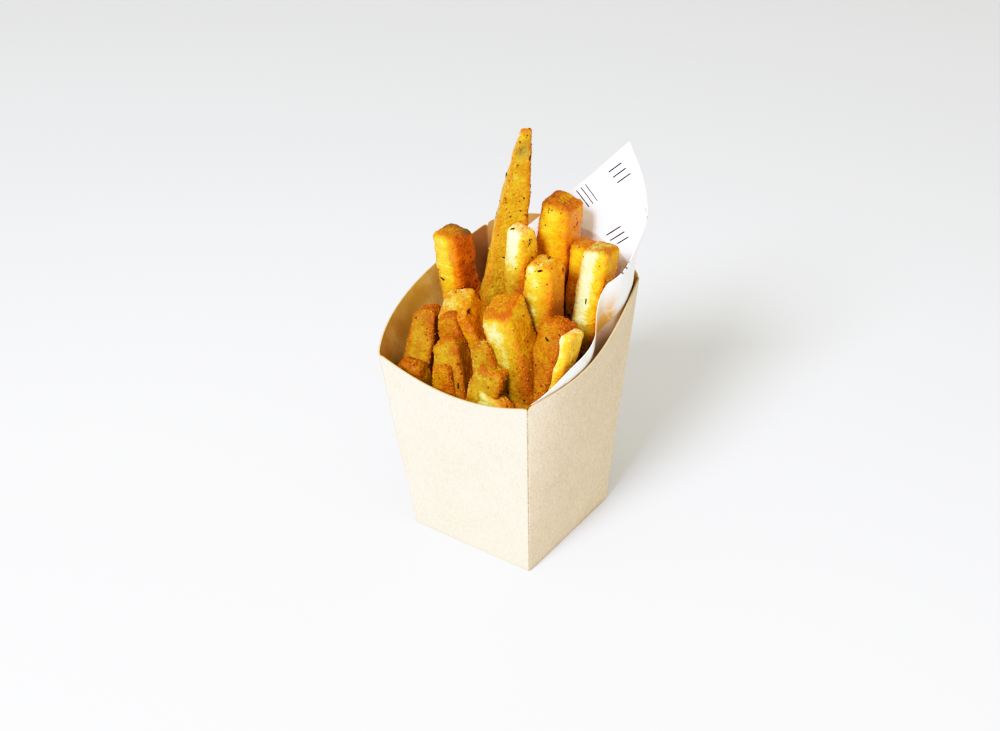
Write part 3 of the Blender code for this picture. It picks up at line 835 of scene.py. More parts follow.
def half_width(carton, z):
    return carton.base_side / 2 + SIDE_FLARE * z


def half_depth(carton, z):
    return carton.base_side / 2 + FRONT_FLARE * z


def side_rim(carton, share):
    return mix(carton.front_corner, carton.back_corner, share)


def rim_height(carton, wall, share):
    """Height of a wall's rim: 0 front, 1 right, 2 back, 3 left; share runs anticlockwise along the wall."""
    across = 1 - (2 * share - 1) ** 2
    if wall == 0:
        return carton.front_corner - carton.front_scoop * across
    if wall == 1:
        return side_rim(carton, share) - carton.right_dip * smooth_step(0, RIGHT_DIP_FULL_AT, share)
    if wall == 2:
        dip = carton.right_dip * (1 - smooth_step(0, BACK_DIP_REACH, share))
        return carton.back_corner + carton.back_arch * across - dip
    return side_rim(carton, 1 - share)


def side_bow(carton, share, z):
    """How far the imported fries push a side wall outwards; share runs from front to back."""
    hump = 4 * share * (1 - share) * (1 - SIDE_BOW_FORWARD * (2 * share - 1))
    return carton.side_bow * max(hump, 0) * (z / side_rim(carton, share)) ** SIDE_BOW_POWER


def wall_point(carton, wall, share, z):
    """A point of the board's outer face."""
    x = half_width(carton, z)
    y = half_depth(carton, z)
    if wall == 0:
        return Vector((x * (2 * share - 1), -y, z))
    if wall == 1:
        return Vector((x + side_bow(carton, share, z), y * (2 * share - 1), z))
    if wall == 2:
        return Vector((x * (1 - 2 * share), y, z))
    return Vector((-x - side_bow(carton, 1 - share, z), y * (1 - 2 * share), z))


def corner_drop(distance):
    """How much lower the rim is near a fold, where the panels' corners are rounded."""
    if distance >= PANEL_CORNER_RADIUS:
        return 0.0
    share = 1 - distance / PANEL_CORNER_RADIUS
    return PANEL_CORNER_DROP * (1 - math.sqrt(max(1 - share * share, 0)))


def carton_columns(carton):
    """Each column of the outer face: its place as a function of height, its rim and its share of a fold."""
    columns = []
    for wall in range(4):
        width = 2 * (half_depth if wall % 2 else half_width)(carton, carton.back_corner * WALL_WIDTH_AT)
        inner = width - 2 * FOLD_REACH
        count = round(inner / WALL_STEP)
        for i in range(count + 1):
            angle = math.pi * mix(COLUMN_CROWDING, 1 - COLUMN_CROWDING, i / count)
            distance = FOLD_REACH + inner * (0.5 - 0.5 * math.cos(angle) / math.cos(math.pi * COLUMN_CROWDING))
            share = distance / width
            fold_distance = min(distance, width - distance)
            rim = rim_height(carton, wall, share) - corner_drop(fold_distance)
            columns.append((lambda z, w=wall, s=share: wall_point(carton, w, s, z), rim, 0.0))
        reach = FOLD_REACH / width
        for i in range(1, FOLD_COLUMNS):
            turn = i / FOLD_COLUMNS
            rim = rim_height(carton, wall, 1) - corner_drop(abs(turn - 0.5) * 2 * FOLD_REACH)
            fold = 1 - smooth_step(*FOLD_WORN, abs(turn - 0.5))
            columns.append((lambda z, w=wall, t=turn, r=reach: fold_point(carton, w, t, r, z), rim, fold))
    return columns


def fold_point(carton, wall, turn, reach, z):
    """A point of the rounded fold between a wall and the next one; turn runs from 0 to 1 round it."""
    before = wall_point(carton, wall, 1 - reach, z)
    corner = wall_point(carton, wall, 1, z)
    after = wall_point(carton, (wall + 1) % 4, reach, z)
    return mix(mix(before, corner, turn), mix(corner, after, turn), turn)


def warped(point):
    """Board is never quite flat: broad, faint waves, none at the base."""
    wave = noise.noise(point * BOARD_WARP_SCALE) * BOARD_WARP * smooth_step(0, BOARD_WARP_FROM, point.z)
    outwards = Vector((point.x, point.y, 0)).normalized()
    return point - outwards * (BOARD_WARP + wave) * smooth_step(0, BOARD_WARP_FROM, point.z)


def build_carton(carton):
    """The board skin with rounded folds, thickened inwards."""
    shape = bmesh.new()
    fold_layer = shape.verts.layers.float.new("fold")
    rings = []
    for place, rim, fold in carton_columns(carton):
        column = []
        for height, inset in BASE_ROUNDING:
            point = place(height * MM)
            shrink = 1 - inset * MM / (carton.base_side / 2)
            column.append(shape.verts.new((point.x * shrink, point.y * shrink, point.z)))
        start = BASE_ROUNDING[-1][0] * MM
        for row in range(1, WALL_ROWS + 1):
            share = row / WALL_ROWS
            column.append(shape.verts.new(warped(place(mix(start, rim, share)))))
        for vertex in column:
            vertex[fold_layer] = fold
        rings.append(column)
    for left, right in zip(rings, rings[1:] + rings[:1]):
        for row in range(len(left) - 1):
            shape.faces.new((left[row], right[row], right[row + 1], left[row + 1]))
    shape.faces.new([column[0] for column in reversed(rings)])
    for face in shape.faces:
        face.smooth = len(face.verts) == 4
    outside = board_material("kraft_board", carton.outside, carton.grease, carton.crease, 0.0)
    inside = board_material(
        "kraft_board_inside", carton.inside, carton.grease, carton.crease, 0.9, carton.shaded_far_corner)
    board = object_from(shape, "carton_board", [outside, cut_edge_material(carton), inside])
    thick = board.modifiers.new("board", "SOLIDIFY")
    thick.thickness = carton.board_thickness
    thick.offset = -1
    thick.use_even_offset = True
    thick.material_offset = 2
    thick.material_offset_rim = 1
    return make_plain(board, SHARP_EDGE)


def paper_flare(carton, paper, z):
    level = min(z, PAPER_UPRIGHT_FROM)
    inset = carton.board_thickness + paper.gap
    return half_width(carton, level) - inset, half_depth(carton, level) - inset


def fold_hump(y):
    """How much of the loose fold along the right wall there is at y, from 0 to 1."""
    return math.exp(-((y - PAPER_FOLD_AT) / PAPER_FOLD_WIDTH) ** 2)


def paper_right(carton, paper, share, z, inside=0.0):
    """A point of the sheet along the right wall, or inside it; share runs from front to back."""
    corner_x, corner_y = paper_flare(carton, paper, z)
    y = mix(-corner_y + PAPER_FRONT_START, corner_y - PAPER_CORNER_RADIUS, share)
    along = (y / corner_y + 1) / 2
    bow = side_bow(carton, along, min(z, side_rim(carton, along)))
    fold = PAPER_FOLD_DEPTH * fold_hump(y) * smooth_step(PAPER_FOLD_FROM, PAPER_FOLD_TO, z)
    return Vector((corner_x + bow - fold - inside, y, z))


def paper_corner(carton, paper, share, z, inside=0.0):
    """A point of the sheet round the back corner, where it curls outwards above the rim, or inside it."""
    corner_x, corner_y = paper_flare(carton, paper, z)
    start = paper_right(carton, paper, 1, z)
    extra = (start.x - corner_x) * (1 - share)
    curl = PAPER_CURL * math.sin(math.pi * share) * smooth_step(PAPER_CURL_FROM, PAPER_CURL_TO, z)
    reach = PAPER_CORNER_RADIUS + curl - inside
    angle = SQUARE_CORNER * share
    x = corner_x - PAPER_CORNER_RADIUS + extra + reach * math.cos(angle)
    return Vector((x, corner_y - PAPER_CORNER_RADIUS + reach * math.sin(angle), z))


def paper_back(carton, paper, share, z):
    """A point of the sheet along the back wall; share runs from the corner to the left end."""
    corner_x, corner_y = paper_flare(carton, paper, z)
    x = mix(corner_x - PAPER_CORNER_RADIUS, PAPER_LEFT_END - corner_x, share)
    return Vector((x, corner_y, z))


def paper_top_on_right(carton, y):
    """Height of the free edge along the right wall: just proud of the rim, then rising behind the fold."""
    front = half_depth(carton, carton.front_corner)
    share = min(max((y / front + 1) / 2, 0), 1)
    proud = PAPER_PROUD * smooth_step(-front, PAPER_PROUD_FULL_AT, y)
    return side_rim(carton, share) + proud + PAPER_BACK_RISE * smooth_step(PAPER_RISE_FROM, PAPER_RISE_TO, y)


def paper_top_on_back(carton, paper, share):
    """The free edge falls from the tip at 45 degrees, as a square sheet's does; found by a few steps."""
    tip = paper_back(carton, paper, 0, paper.tip)
    height = paper.tip
    for _ in range(PAPER_EDGE_STEPS):
        height = paper.tip - (tip.x - paper_back(carton, paper, share, height).x)
    return height


def paper_columns(carton, paper):
    """Each column of the sheet: the function that places it, its share and the height of its free edge."""
    columns = []
    for i in range(PAPER_COLUMNS["right"]):
        share = i / PAPER_COLUMNS["right"]
        y = paper_right(carton, paper, share, carton.back_corner).y
        columns.append((paper_right, share, paper_top_on_right(carton, y)))
    shoulder = paper_top_on_right(carton, paper_right(carton, paper, 1, carton.back_corner).y)
    for i in range(PAPER_COLUMNS["corner"]):
        share = i / PAPER_COLUMNS["corner"]
        columns.append((paper_corner, share, mix(shoulder, paper.tip, share ** PAPER_SHOULDER_POWER)))
    for i in range(PAPER_COLUMNS["back"] + 1):
        share = i / PAPER_COLUMNS["back"]
        columns.append((paper_back, share, paper_top_on_back(carton, paper, share)))
    return columns


def crinkled(carton, point):
    """Crinkles push the sheet inwards only; above the board, where it stands free, it waves both ways."""
    inwards = Vector((-point.x, -point.y, 0)).normalized()
    push = sum(abs(noise.noise(point * scale)) / (1 + i) for i, scale in enumerate(PAPER_CRINKLE_SCALES))
    share = min(max((point.y / half_depth(carton, point.z) + 1) / 2, 0), 1)
    rim = side_rim(carton, share)
    free = smooth_step(rim + PAPER_FREE_FROM, rim + PAPER_FREE_TO, point.z)
    wave = noise.noise(point * PAPER_FREE_WAVE_SCALE + PAPER_FREE_WAVE_SHIFT) * PAPER_FREE_WAVE * free
    return point + inwards * (push * PAPER_CRINKLE + wave)


def rim_behind(carton, point):
    """Height of the rim of the wall behind a point of the sheet."""
    x = point.x / half_width(carton, point.z)
    y = point.y / half_depth(carton, point.z)
    if y > abs(x) * PAPER_BACK_FROM:
        return rim_height(carton, 2, min(max((1 - x) / 2, 0), 1))
    return rim_height(carton, 1, min(max((1 + y) / 2, 0), 1))


def build_paper(carton, paper):
    """The loose sheet, thickened on both faces alike, with its flat place on the sheet as a UV map."""
    shape = bmesh.new()
    flat = shape.loops.layers.uv.new("sheet")
    clear_layer = shape.verts.layers.float.new("clear")
    gap_layer = shape.verts.layers.float.new("gap")
    columns = []
    along = 0.0
    before = None
    for place, share, top in paper_columns(carton, paper):
        level = place(carton, paper, share, carton.front_corner)
        along += (level - before).length if before else 0.0
        before = level
        column = []
        for row in range(PAPER_ROWS + 1):
            z = mix(PAPER_FOOT, top, row / PAPER_ROWS)
            point = place(carton, paper, share, z)
            vertex = shape.verts.new(crinkled(carton, point))
            vertex[clear_layer] = (z - rim_behind(carton, point)) / MM
            vertex[gap_layer] = fold_hump(point.y) if place is paper_right else 0.0
            column.append((vertex, (along / UV_SPAN, z / UV_SPAN)))
        columns.append(column)
    for corners in quads(columns, False):
        face = shape.faces.new([vertex for vertex, _ in corners])
        face.smooth = True
        for loop, (_, uv) in zip(face.loops, corners):
            loop[flat].uv = uv
    sheet = object_from(shape, "paper_sheet", [paper_material(paper)])
    thick = sheet.modifiers.new("sheet", "SOLIDIFY")
    thick.thickness = paper.thickness
    thick.offset = 0
    return make_plain(sheet, SHARP_EDGE)


def axis_at(piece, z):
    """The point of a fry's axis at height z."""
    return mix(piece.foot, piece.top, (z - piece.foot.z) / (piece.top.z - piece.foot.z))


def filler_fries():
    """Lower fries on a grid that close the gaps between the placed ones."""
    draw = random.Random(FRY_SEED)
    fillers = []
    for column in range(FILLER_COLUMNS):
        for line in range(FILLER_LINES):
            x = (column - (FILLER_COLUMNS - 1) / 2) * FILLER_STEP
            y = (line - (FILLER_LINES - 1) / 2) * FILLER_STEP
            foot = Vector((x, y, FILLER_FOOT))
            top = Vector((x / MM, y / MM, draw.uniform(*FILLER_TOP)))
            top.x += draw.uniform(-FILLER_LEAN, FILLER_LEAN)
            top.y += draw.uniform(-FILLER_LEAN, FILLER_LEAN)
            width = draw.uniform(*FILLER_WIDTH)
            depth = width * FILLER_FLATNESS
            turn = draw.uniform(-FILLER_TURN, FILLER_TURN)
            nearest = min((axis_at(piece, FILLER_FOOT) - foot).length for piece in FRIES)
            if nearest > FILLER_SPACING:
                name = f"filler_{column}_{line}"
                fillers.append(fry(name, top, foot / MM, width, depth, turn, FILLER_TAPER, FILLER_CUT,
                                   FILLER_TONE, shade=FILLER_SHADE))
    return fillers


def rounded_square(count):
    """Evenly spaced points round a square, from -1 to 1 each way, with rounded corners."""
    straight = 2 - 2 * FRY_CORNER
    side = straight + SQUARE_CORNER * FRY_CORNER
    points = []
    for i in range(count):
        quarter, walked = divmod(4 * side * i / count, side)
        if walked < straight:
            point = Vector((1, walked - straight / 2))
        else:
            angle = (walked - straight) / FRY_CORNER
            point = Vector((1 - FRY_CORNER + FRY_CORNER * math.cos(angle),
                            1 - FRY_CORNER + FRY_CORNER * math.sin(angle)))
        points.append(tuple(Matrix.Rotation(SQUARE_CORNER * quarter, 2) @ point))
    return points


def fry_frame(piece):
    """Axis, length and the two section directions of a fry."""
    axis = piece.top - piece.foot
    length = axis.length
    axis.normalize()
    across = Vector((1, 0, 0)) - axis * axis.x
    across.normalize()
    along = axis.cross(across)
    turn = Matrix.Rotation(math.radians(piece.turn), 3, axis)
    return axis, length, turn @ across, turn @ along


def fry_stations(piece, length):
    """Rings from foot to tip: distance along the axis, inset of the rounding, shrink towards the middle."""
    length -= CRUST_ROOM
    narrow = min(piece.width, piece.depth) * piece.taper
    radius = min(piece.radius, narrow * FRY_END_ROUNDEST)
    hidden = max((FRY_SEEN_FROM - piece.foot.z) / (piece.top.z - piece.foot.z), 0) * length
    count = max(int((length - radius - hidden) / FRY_STEP), 4)
    stations = [(0.0, 0.0, 1.0), (0.0, 0.0, 0.0), (hidden / 2, 0.0, 0.0)]
    stations += [(mix(hidden, length - radius, i / count), 0.0, 0.0) for i in range(count + 1)]
    for i in range(1, FRY_END_ARCS + 1):
        angle = SQUARE_CORNER * i / FRY_END_ARCS
        stations.append((length - radius + radius * math.sin(angle), radius * (1 - math.cos(angle)), 0.0))
    rings = max(int(narrow / 2 / FRY_STEP), 2)
    stations += [(length, radius, i / rings) for i in range(1, rings + 1)]
    return stations


def roughened(point, number):
    """Moves a point by smooth noise, in broad bends and small crags, as the solid's."""
    shift = Vector((number * FRY_SEED, number, 0))
    bends = noise.noise_vector(point * FRY_BEND_SCALE + shift) * FRY_BEND
    crags = noise.noise_vector(point * FRY_CRAG_SCALE + shift) * FRY_CRAG
    return point + bends + crags


def eye_at(piece, share, facing):
    """The sunken eye near the tip of the tall fry, on its face towards the front right."""
    if piece.name != "tall":
        return 0.0
    along = (share - EYE_SHARE) * (piece.top - piece.foot).length / EYE_LENGTH
    aside = 1 - facing.dot(Vector(EYE_DIRECTION))
    return math.exp(-along * along * EYE_FALL_ALONG - aside * aside * EYE_FALL_ASIDE)


def fry_looks(piece, length, station, facing, corner, height):
    """What the finish needs to know of one place on a fry, by the names of the numbers that the mesh holds."""
    distance, inset, shrink = station
    near_end = smooth_step(length - FRY_END_REACH, length - inset * 0.5, distance)
    on_top = max(shrink, min(inset / piece.radius, 1))
    rim = smooth_step(length - RIM_FROM, length - RIM_TO, distance) * (1 - shrink)
    side = smooth_step(*SHADED_SIDE_FACING, facing.x) * (1 - on_top)
    back = smooth_step(*SKIN_FACING, facing.y) * (1 - shrink)
    deep = 1 - smooth_step(piece.dim - DIM_REACH, piece.dim + DIM_REACH, height)
    on_end = near_end * smooth_step(0, END_SHADE_FULL_AT, piece.end) * END_SHADE
    crusty = max(smooth_step(length - CRUMBS_FROM, length - CRUMBS_TO, distance), corner * CORNER_CRUMBS)
    # Painted shade: side and low brown the right face and the lower part, and shade darkens lower down and on
    # the upward cut end
    return {
        "edge": max(corner * CORNER_GLOW, rim),
        "end": near_end,
        "tone": piece.tone + piece.side * side + piece.end * near_end + piece.low * deep,
        "skin": piece.skin * back * smooth_step(length - SKIN_FROM, length - SKIN_TO, distance),
        "shade": max(mix(piece.shade, piece.dark, deep), on_end),
        "crumbly": piece.crust * crusty,
    }


class FryMesh:
    """Collects the vertices, faces and vertex numbers of all the fries."""

    def __init__(self):
        self.points = []
        self.faces = []
        self.numbers = {}

    def add_ring(self, piece, number, station, section):
        axis, length, across, along = fry_frame(piece)
        distance, inset, shrink = station
        share = distance / length
        taper = mix(1.0, piece.taper, share ** FRY_TAPER_POWER)
        slope_across = math.tan(math.radians(piece.cut[0])) * share ** FRY_SLANT_POWER
        slope_along = math.tan(math.radians(piece.cut[1])) * share ** FRY_SLANT_POWER
        ring = []
        for a, b in section:
            u = a * (piece.width / 2 * taper - inset) * (1 - shrink)
            v = b * (piece.depth / 2 * taper - inset) * (1 - shrink)
            point = piece.foot + axis * (distance + u * slope_across + v * slope_along) + across * u + along * v
            facing = (across * a + along * b).normalized()
            eye = eye_at(piece, share, facing)
            self.points.append(roughened(point, number) - facing * eye * EYE_DEPTH)
            corner = smooth_step(CORNER_FROM, 1.0, min(abs(a), abs(b)) / CORNER_PLACE) * (1 - shrink)
            looks = fry_looks(piece, length, station, facing, corner, point.z)
            for name, value in (looks | {"eye": eye}).items():
                self.numbers.setdefault(name, []).append(value)
            ring.append(len(self.points) - 1)
        return ring

    def add_fry(self, piece, number):
        _, length, _, _ = fry_frame(piece)
        around = (piece.width + piece.depth) * FRY_ROUND_SHARE
        section = rounded_square(round(around / FRY_STEP / 4) * 4)
        rings = [self.add_ring(piece, number, station, section) for station in fry_stations(piece, length)]
        self.faces.extend(quads(rings, True))


def new_tree(name, inputs):
    """A tree of Geometry Nodes with named inputs: its graph and the inputs' sockets."""
    tree = bpy.data.node_groups.new(name, "GeometryNodeTree")
    for label, kind in inputs.items():
        tree.interface.new_socket(label, in_out="INPUT", socket_type="NodeSocket" + kind)
    tree.interface.new_socket("Result", in_out="OUTPUT", socket_type="NodeSocketGeometry")
    graph = Graph(tree)
    given = tree.nodes.new("NodeGroupInput")
    return graph, [Socket(graph, given.outputs[label]) for label in inputs]


def crust_tree():
    """Geometry Nodes that raise broad lumps and crisp blisters on the fries along their normals."""
    graph, (fries, lump_size, lump_height, blister_size, blister_height, finish) = new_tree("Crust", {
        "Fries": "Geometry", "Lump size": "Float", "Lump height": "Float", "Blister size": "Float",
        "Blister height": "Float", "Finish": "Material"})
    place = graph.node("GeometryNodeInputPosition")
    normal = graph.node("GeometryNodeInputNormal")
    lumps = graph.noise(place, lump_size, 2.0)
    blisters = graph.noise(place, blister_size, 3.0, 0.65)
    crisp = 0.35 + graph.given("edge") * 1.0 + graph.given("end") * 0.8
    height = (lumps - 0.5) * 2 * lump_height + (blisters - 0.5) * 2 * blister_height * crisp
    offset = graph.node("ShaderNodeVectorMath", {"operation": "SCALE"}, {0: normal, "Scale": height})
    raised = graph.node("GeometryNodeSetPosition", {}, {"Geometry": fries, "Offset": offset})
    return finish_tree(graph, raised, finish, True)


def scatter_tree():
    """Geometry Nodes that scatter small flakes on a surface, each with its own size, turn and crookedness."""
    graph, sockets = new_tree("Seasoning", {
        "Surface": "Geometry", "Per square metre": "Float", "Only on": "String", "Longest": "Float",
        "Shortest": "Float", "Width": "Float", "Thickness": "Float", "Crookedness": "Float", "Seed": "Int",
        "Finish": "Material"})
    surface, density, weight, longest, shortest, width, thickness, crook, seed, finish = sockets
    points = graph.node("GeometryNodeDistributePointsOnFaces", {"distribute_method": "RANDOM"}, {
        "Mesh": surface, "Density": density * graph.given(weight), "Seed": seed}, "Points")
    facing = Socket(graph, points.output.node.outputs["Rotation"])
    spin = graph.node("ShaderNodeCombineXYZ", {}, {"Z": graph.drawn(0.0, 2 * math.pi, seed)})
    spin = graph.node("FunctionNodeEulerToRotation", {}, {"Euler": spin})
    turn = graph.node(
        "FunctionNodeRotateRotation", {"rotation_space": "LOCAL"}, {"Rotation": facing, "Rotate By": spin})
    size = graph.drawn(0.0, 1.0, seed + SIZE_SEED_SHIFT)
    half = mix(shortest, longest, size * size) * 0.5
    scale = graph.node("ShaderNodeCombineXYZ", {}, {"X": half, "Y": half * width, "Z": half * thickness})
    flake = graph.node("GeometryNodeMeshIcoSphere", {}, {"Radius": 1.0, "Subdivisions": 1})
    scattered = graph.node("GeometryNodeInstanceOnPoints", {}, {
        "Points": points, "Instance": flake, "Rotation": turn, "Scale": scale})
    loose = graph.node("GeometryNodeRealizeInstances", {}, {"Geometry": scattered})
    place = graph.node("GeometryNodeInputPosition")
    shake = graph.node("ShaderNodeTexNoise", {}, {"Vector": place, "Scale": 1 / SHAKE_SIZE, "Detail": 1.0}, 1)
    shake = graph.node("ShaderNodeVectorMath", {"operation": "SUBTRACT"}, {0: shake, 1: (0.5, 0.5, 0.5)})
    shake = graph.node("ShaderNodeVectorMath", {"operation": "SCALE"}, {0: shake, "Scale": crook})
    crooked = graph.node("GeometryNodeSetPosition", {}, {"Geometry": loose, "Offset": shake})
    return finish_tree(graph, crooked, finish, False)


def finish_tree(graph, geometry, finish, smooth):
    """Ends a tree with smooth or flat faces, real geometry and its material, and returns it."""
    shaded = graph.node("GeometryNodeSetShadeSmooth", {}, {"Geometry": geometry, "Shade Smooth": smooth})
    real = graph.node("GeometryNodeRealizeInstances", {}, {"Geometry": shaded})
    coated = graph.node("GeometryNodeSetMaterial", {}, {"Geometry": real, "Material": finish})
    result = graph.tree.nodes.new("NodeGroupOutput")
    graph.feed(result.inputs[0], coated)
    return graph.tree


def run_tree(thing, tree, **values):
    """Runs a tree on an object with its inputs set by name, and keeps the result as a plain mesh."""
    modifier = thing.modifiers.new(tree.name, "NODES")
    modifier.node_group = tree
    for item in tree.interface.items_tree:
        key = item.name.lower().replace(" ", "_")
        if item.in_out == "INPUT" and key in values:
            modifier[item.identifier] = values[key]
    return make_plain(thing)


def build_fries(settings):
    """All the fries as one mesh, then their crust."""
    noise.seed_set(NOISE_SEED)
    heap = FryMesh()
    for number, piece in enumerate(FRIES + filler_fries()):
        heap.add_fry(piece, number)
    mesh = bpy.data.meshes.new("fries_heap")
    mesh.from_pydata(heap.points, [], heap.faces)
    for name, values in heap.numbers.items():
        store(mesh, name, values)
    shape = bmesh.new()
    shape.from_mesh(mesh)
    bmesh.ops.remove_doubles(shape, verts=shape.verts[:], dist=FRY_WELD)
    bmesh.ops.dissolve_degenerate(shape, edges=shape.edges[:], dist=FRY_SLIVER)
    bmesh.ops.recalc_face_normals(shape, faces=shape.faces[:])
    shape.to_mesh(mesh)
    shape.free()
    finish = potato_material(settings, "fried_potato", 0.0)
    heap = add_object("fries_heap", mesh, [finish])
    return run_tree(heap, crust_tree(), lump_size=settings.lump_size, lump_height=settings.lump,
                    blister_size=settings.blister_size, blister_height=settings.blister, finish=finish)


def core_outline(carton, paper, z):
    """The core's outline at height z, clear of the paper at the right and back and of the board elsewhere."""
    steps = [i / CORE_SIDE_STEPS for i in range(CORE_SIDE_STEPS + 1)]
    turns = [(i + 1) / CORE_CORNER_STEPS for i in range(CORE_CORNER_STEPS)]
    right = [paper_right(carton, paper, share, z, CORE_CLEAR_OF_PAPER) for share in steps]
    corner = [paper_corner(carton, paper, share, z, CORE_CLEAR_OF_PAPER) for share in turns]
    left = []
    for share in steps:
        point = wall_point(carton, 3, share, z)
        left.append(point + Vector((CORE_CLEAR_OF_BOARD, -math.copysign(CORE_CLEAR_OF_BOARD, point.y), 0)))
    left[0].y = corner[-1].y
    front = []
    for share in steps[1:-1]:
        front.append(mix(left[-1], right[0], share))
    return right + corner + left + front


def build_core(carton, paper, finish):
    """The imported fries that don't show, as one block with a bumpy top."""
    shape = bmesh.new()
    rings = []
    for row in range(CORE_ROWS + 1):
        z = mix(CORE_FLOOR, CORE_TOP, row / CORE_ROWS)
        ring = []
        for point in core_outline(carton, paper, z):
            lift = CORE_TOP_SLOPE * (point.y + half_depth(carton, z)) * (row / CORE_ROWS)
            inwards = Vector((-point.x, -point.y, 0)).normalized()
            dent = inwards * abs(noise.noise(point * CORE_DENT_SCALE)) * CORE_DENT
            ring.append(point + Vector((0, 0, lift)) + dent)
        rings.append(ring)
    middle = sum(rings[-1], Vector()) / len(rings[-1])
    for shrink in CORE_TOP_RINGS:
        rings.append([mix(middle, point, shrink) for point in rings[CORE_ROWS]])
    loops = [[shape.verts.new(point) for point in ring] for ring in rings]
    for corners in quads(loops, True):
        shape.faces.new(corners)
    shape.faces.new(list(reversed(loops[0])))
    shape.faces.new(loops[-1])
    for face in shape.faces:
        face.smooth = True
    core = object_from(shape, "packed_core", [finish])
    for name, value in CORE_LOOKS.items():
        store(core.data, name, [value] * len(core.data.vertices))
    return core


def scatter(name, surface, tree, finish, seed, per_square_decimetre, only_on, longest, shape):
    """One kind of seasoning on the fries, as a mesh of its own."""
    shortest, width, thickness = shape
    thing = add_object(name, surface.data.copy())
    thing.data.materials.clear()
    thing.data.materials.append(finish)
    return run_tree(
        thing, tree, per_square_metre=per_square_decimetre * 100.0, only_on=only_on, longest=longest,
        shortest=longest * shortest, width=width, thickness=thickness, crookedness=longest * CROOKEDNESS,
        seed=seed, finish=finish)


def mark_exposed(surface):
    """Stores on the fries how open each place lies, so that nothing is scattered deep in the heap."""
    mesh = surface.data
    values = []
    for vertex in mesh.vertices:
        height = vertex.co.z
        high = smooth_step(*EXPOSED, height) * (1 + EXPOSED_TALL_EXTRA * smooth_step(*EXPOSED_TALL, height))
        patch = noise.noise(vertex.co * EXPOSED_PATCHES + EXPOSED_SHIFT)
        values.append(high * max(0.25 + 0.75 * patch * 2, EXPOSED_LEAST))
    store(mesh, "exposed", values)


def look_rotation(azimuth, elevation, roll=0.0):
    """Right, up and back directions of a camera or lamp that looks from an azimuth and an elevation."""
    level = math.cos(elevation)
    back = Vector((math.sin(azimuth) * level, -math.cos(azimuth) * level, math.sin(elevation)))
    right = Vector((0, 0, 1)).cross(back).normalized()
    up = back.cross(right)
    turned_right = right * math.cos(roll) + up * math.sin(roll)
    turned_up = up * math.cos(roll) - right * math.sin(roll)
    return turned_right, turned_up, back


def place_by(thing, directions, location):
    thing.matrix_world = Matrix.Translation(location) @ Matrix(directions).transposed().to_4x4()


def add_camera():
    camera = bpy.data.cameras.new("camera")
    camera.lens = CAMERA_LENS
    camera.sensor_width = CAMERA_SENSOR
    camera.clip_start, camera.clip_end = CAMERA_CLIP
    thing = add_object("camera", camera)
    right, up, back = look_rotation(
        math.radians(CAMERA_AZIMUTH), math.radians(CAMERA_ELEVATION), math.radians(CAMERA_ROLL))
    location = back * CAMERA_DISTANCE + right * CAMERA_SHIFT_RIGHT + up * CAMERA_SHIFT_UP
    place_by(thing, (right, up, back), location)
    bpy.context.scene.camera = thing


def add_key(settings):
    """The soft light in front of the carton, high up."""
    lamp = bpy.data.lights.new("key", "AREA")
    lamp.shape = "DISK"
    lamp.size = KEY_SIZE
    lamp.energy = settings.key
    lamp.color = settings.key_colour
    thing = add_object("key", lamp)
    directions = look_rotation(settings.key_azimuth, settings.key_elevation)
    place_by(thing, directions, Vector(KEY_TARGET) + directions[2] * KEY_DISTANCE)


def add_floor(settings):
    """A floor that sweeps up softly far behind the object."""
    shape = bmesh.new()
    profile = [(reach, 0.0) for reach in FLOOR_LEVEL_ROWS]
    for i in range(1, FLOOR_SWEEP_STEPS + 1):
        angle = SQUARE_CORNER * i / FLOOR_SWEEP_STEPS
        profile.append((FLOOR_LEVEL_ROWS[-1] + FLOOR_SWEEP * math.sin(angle),
                        FLOOR_SWEEP - FLOOR_SWEEP * math.cos(angle)))
    profile.append((FLOOR_LEVEL_ROWS[-1] + FLOOR_SWEEP, FLOOR_WALL_TOP))
    azimuth = math.radians(CAMERA_AZIMUTH)
    forward = Vector((-math.sin(azimuth), math.cos(azimuth), 0))
    aside = Vector((math.cos(azimuth), math.sin(azimuth), 0))
    rows = []
    for reach, height in profile:
        middle = forward * reach + Vector((0, 0, height))
        rows.append([shape.verts.new(middle + aside * side) for side in FLOOR_SIDES])
    for corners in quads(rows, False):
        shape.faces.new(corners).smooth = True
    floor = object_from(shape, "floor", [floor_material(settings)])


def add_sky(strength):
    world = bpy.data.worlds.new("studio")
    world.use_nodes = True
    background = world.node_tree.nodes["Background"]
    background.inputs["Color"].default_value = SKY_COLOUR
    background.inputs["Strength"].default_value = strength
    bpy.context.scene.world = world


def set_response(view):
    """The standard view with a curve whose whites roll off softly, as a camera's do."""
    view.view_transform = "Standard"
    view.use_curve_mapping = True
    view.curve_mapping.white_level = (BRIGHTEST, BRIGHTEST, BRIGHTEST)
    for place, value in RESPONSE:
        view.curve_mapping.curves[3].points.new(place, value)
    view.curve_mapping.update()


class FRIES_OT_carton(bpy.types.Operator):
    """Build the board carton with its folds and cut rim"""

    bl_idname = "fries.carton"
    bl_label = "Carton"

    def execute(self, context):
        board = build_carton(context.scene.fries_carton)
        dress(board, "kraft_board", "carton")
        return {"FINISHED"}


class FRIES_OT_paper(bpy.types.Operator):
    """Build the loose paper liner with its crinkles and printed strokes"""

    bl_idname = "fries.paper"
    bl_label = "Paper liner"

    def execute(self, context):
        sheet = build_paper(context.scene.fries_carton, context.scene.fries_paper)
        dress(sheet, "greaseproof_paper", "paper_liner")
        return {"FINISHED"}


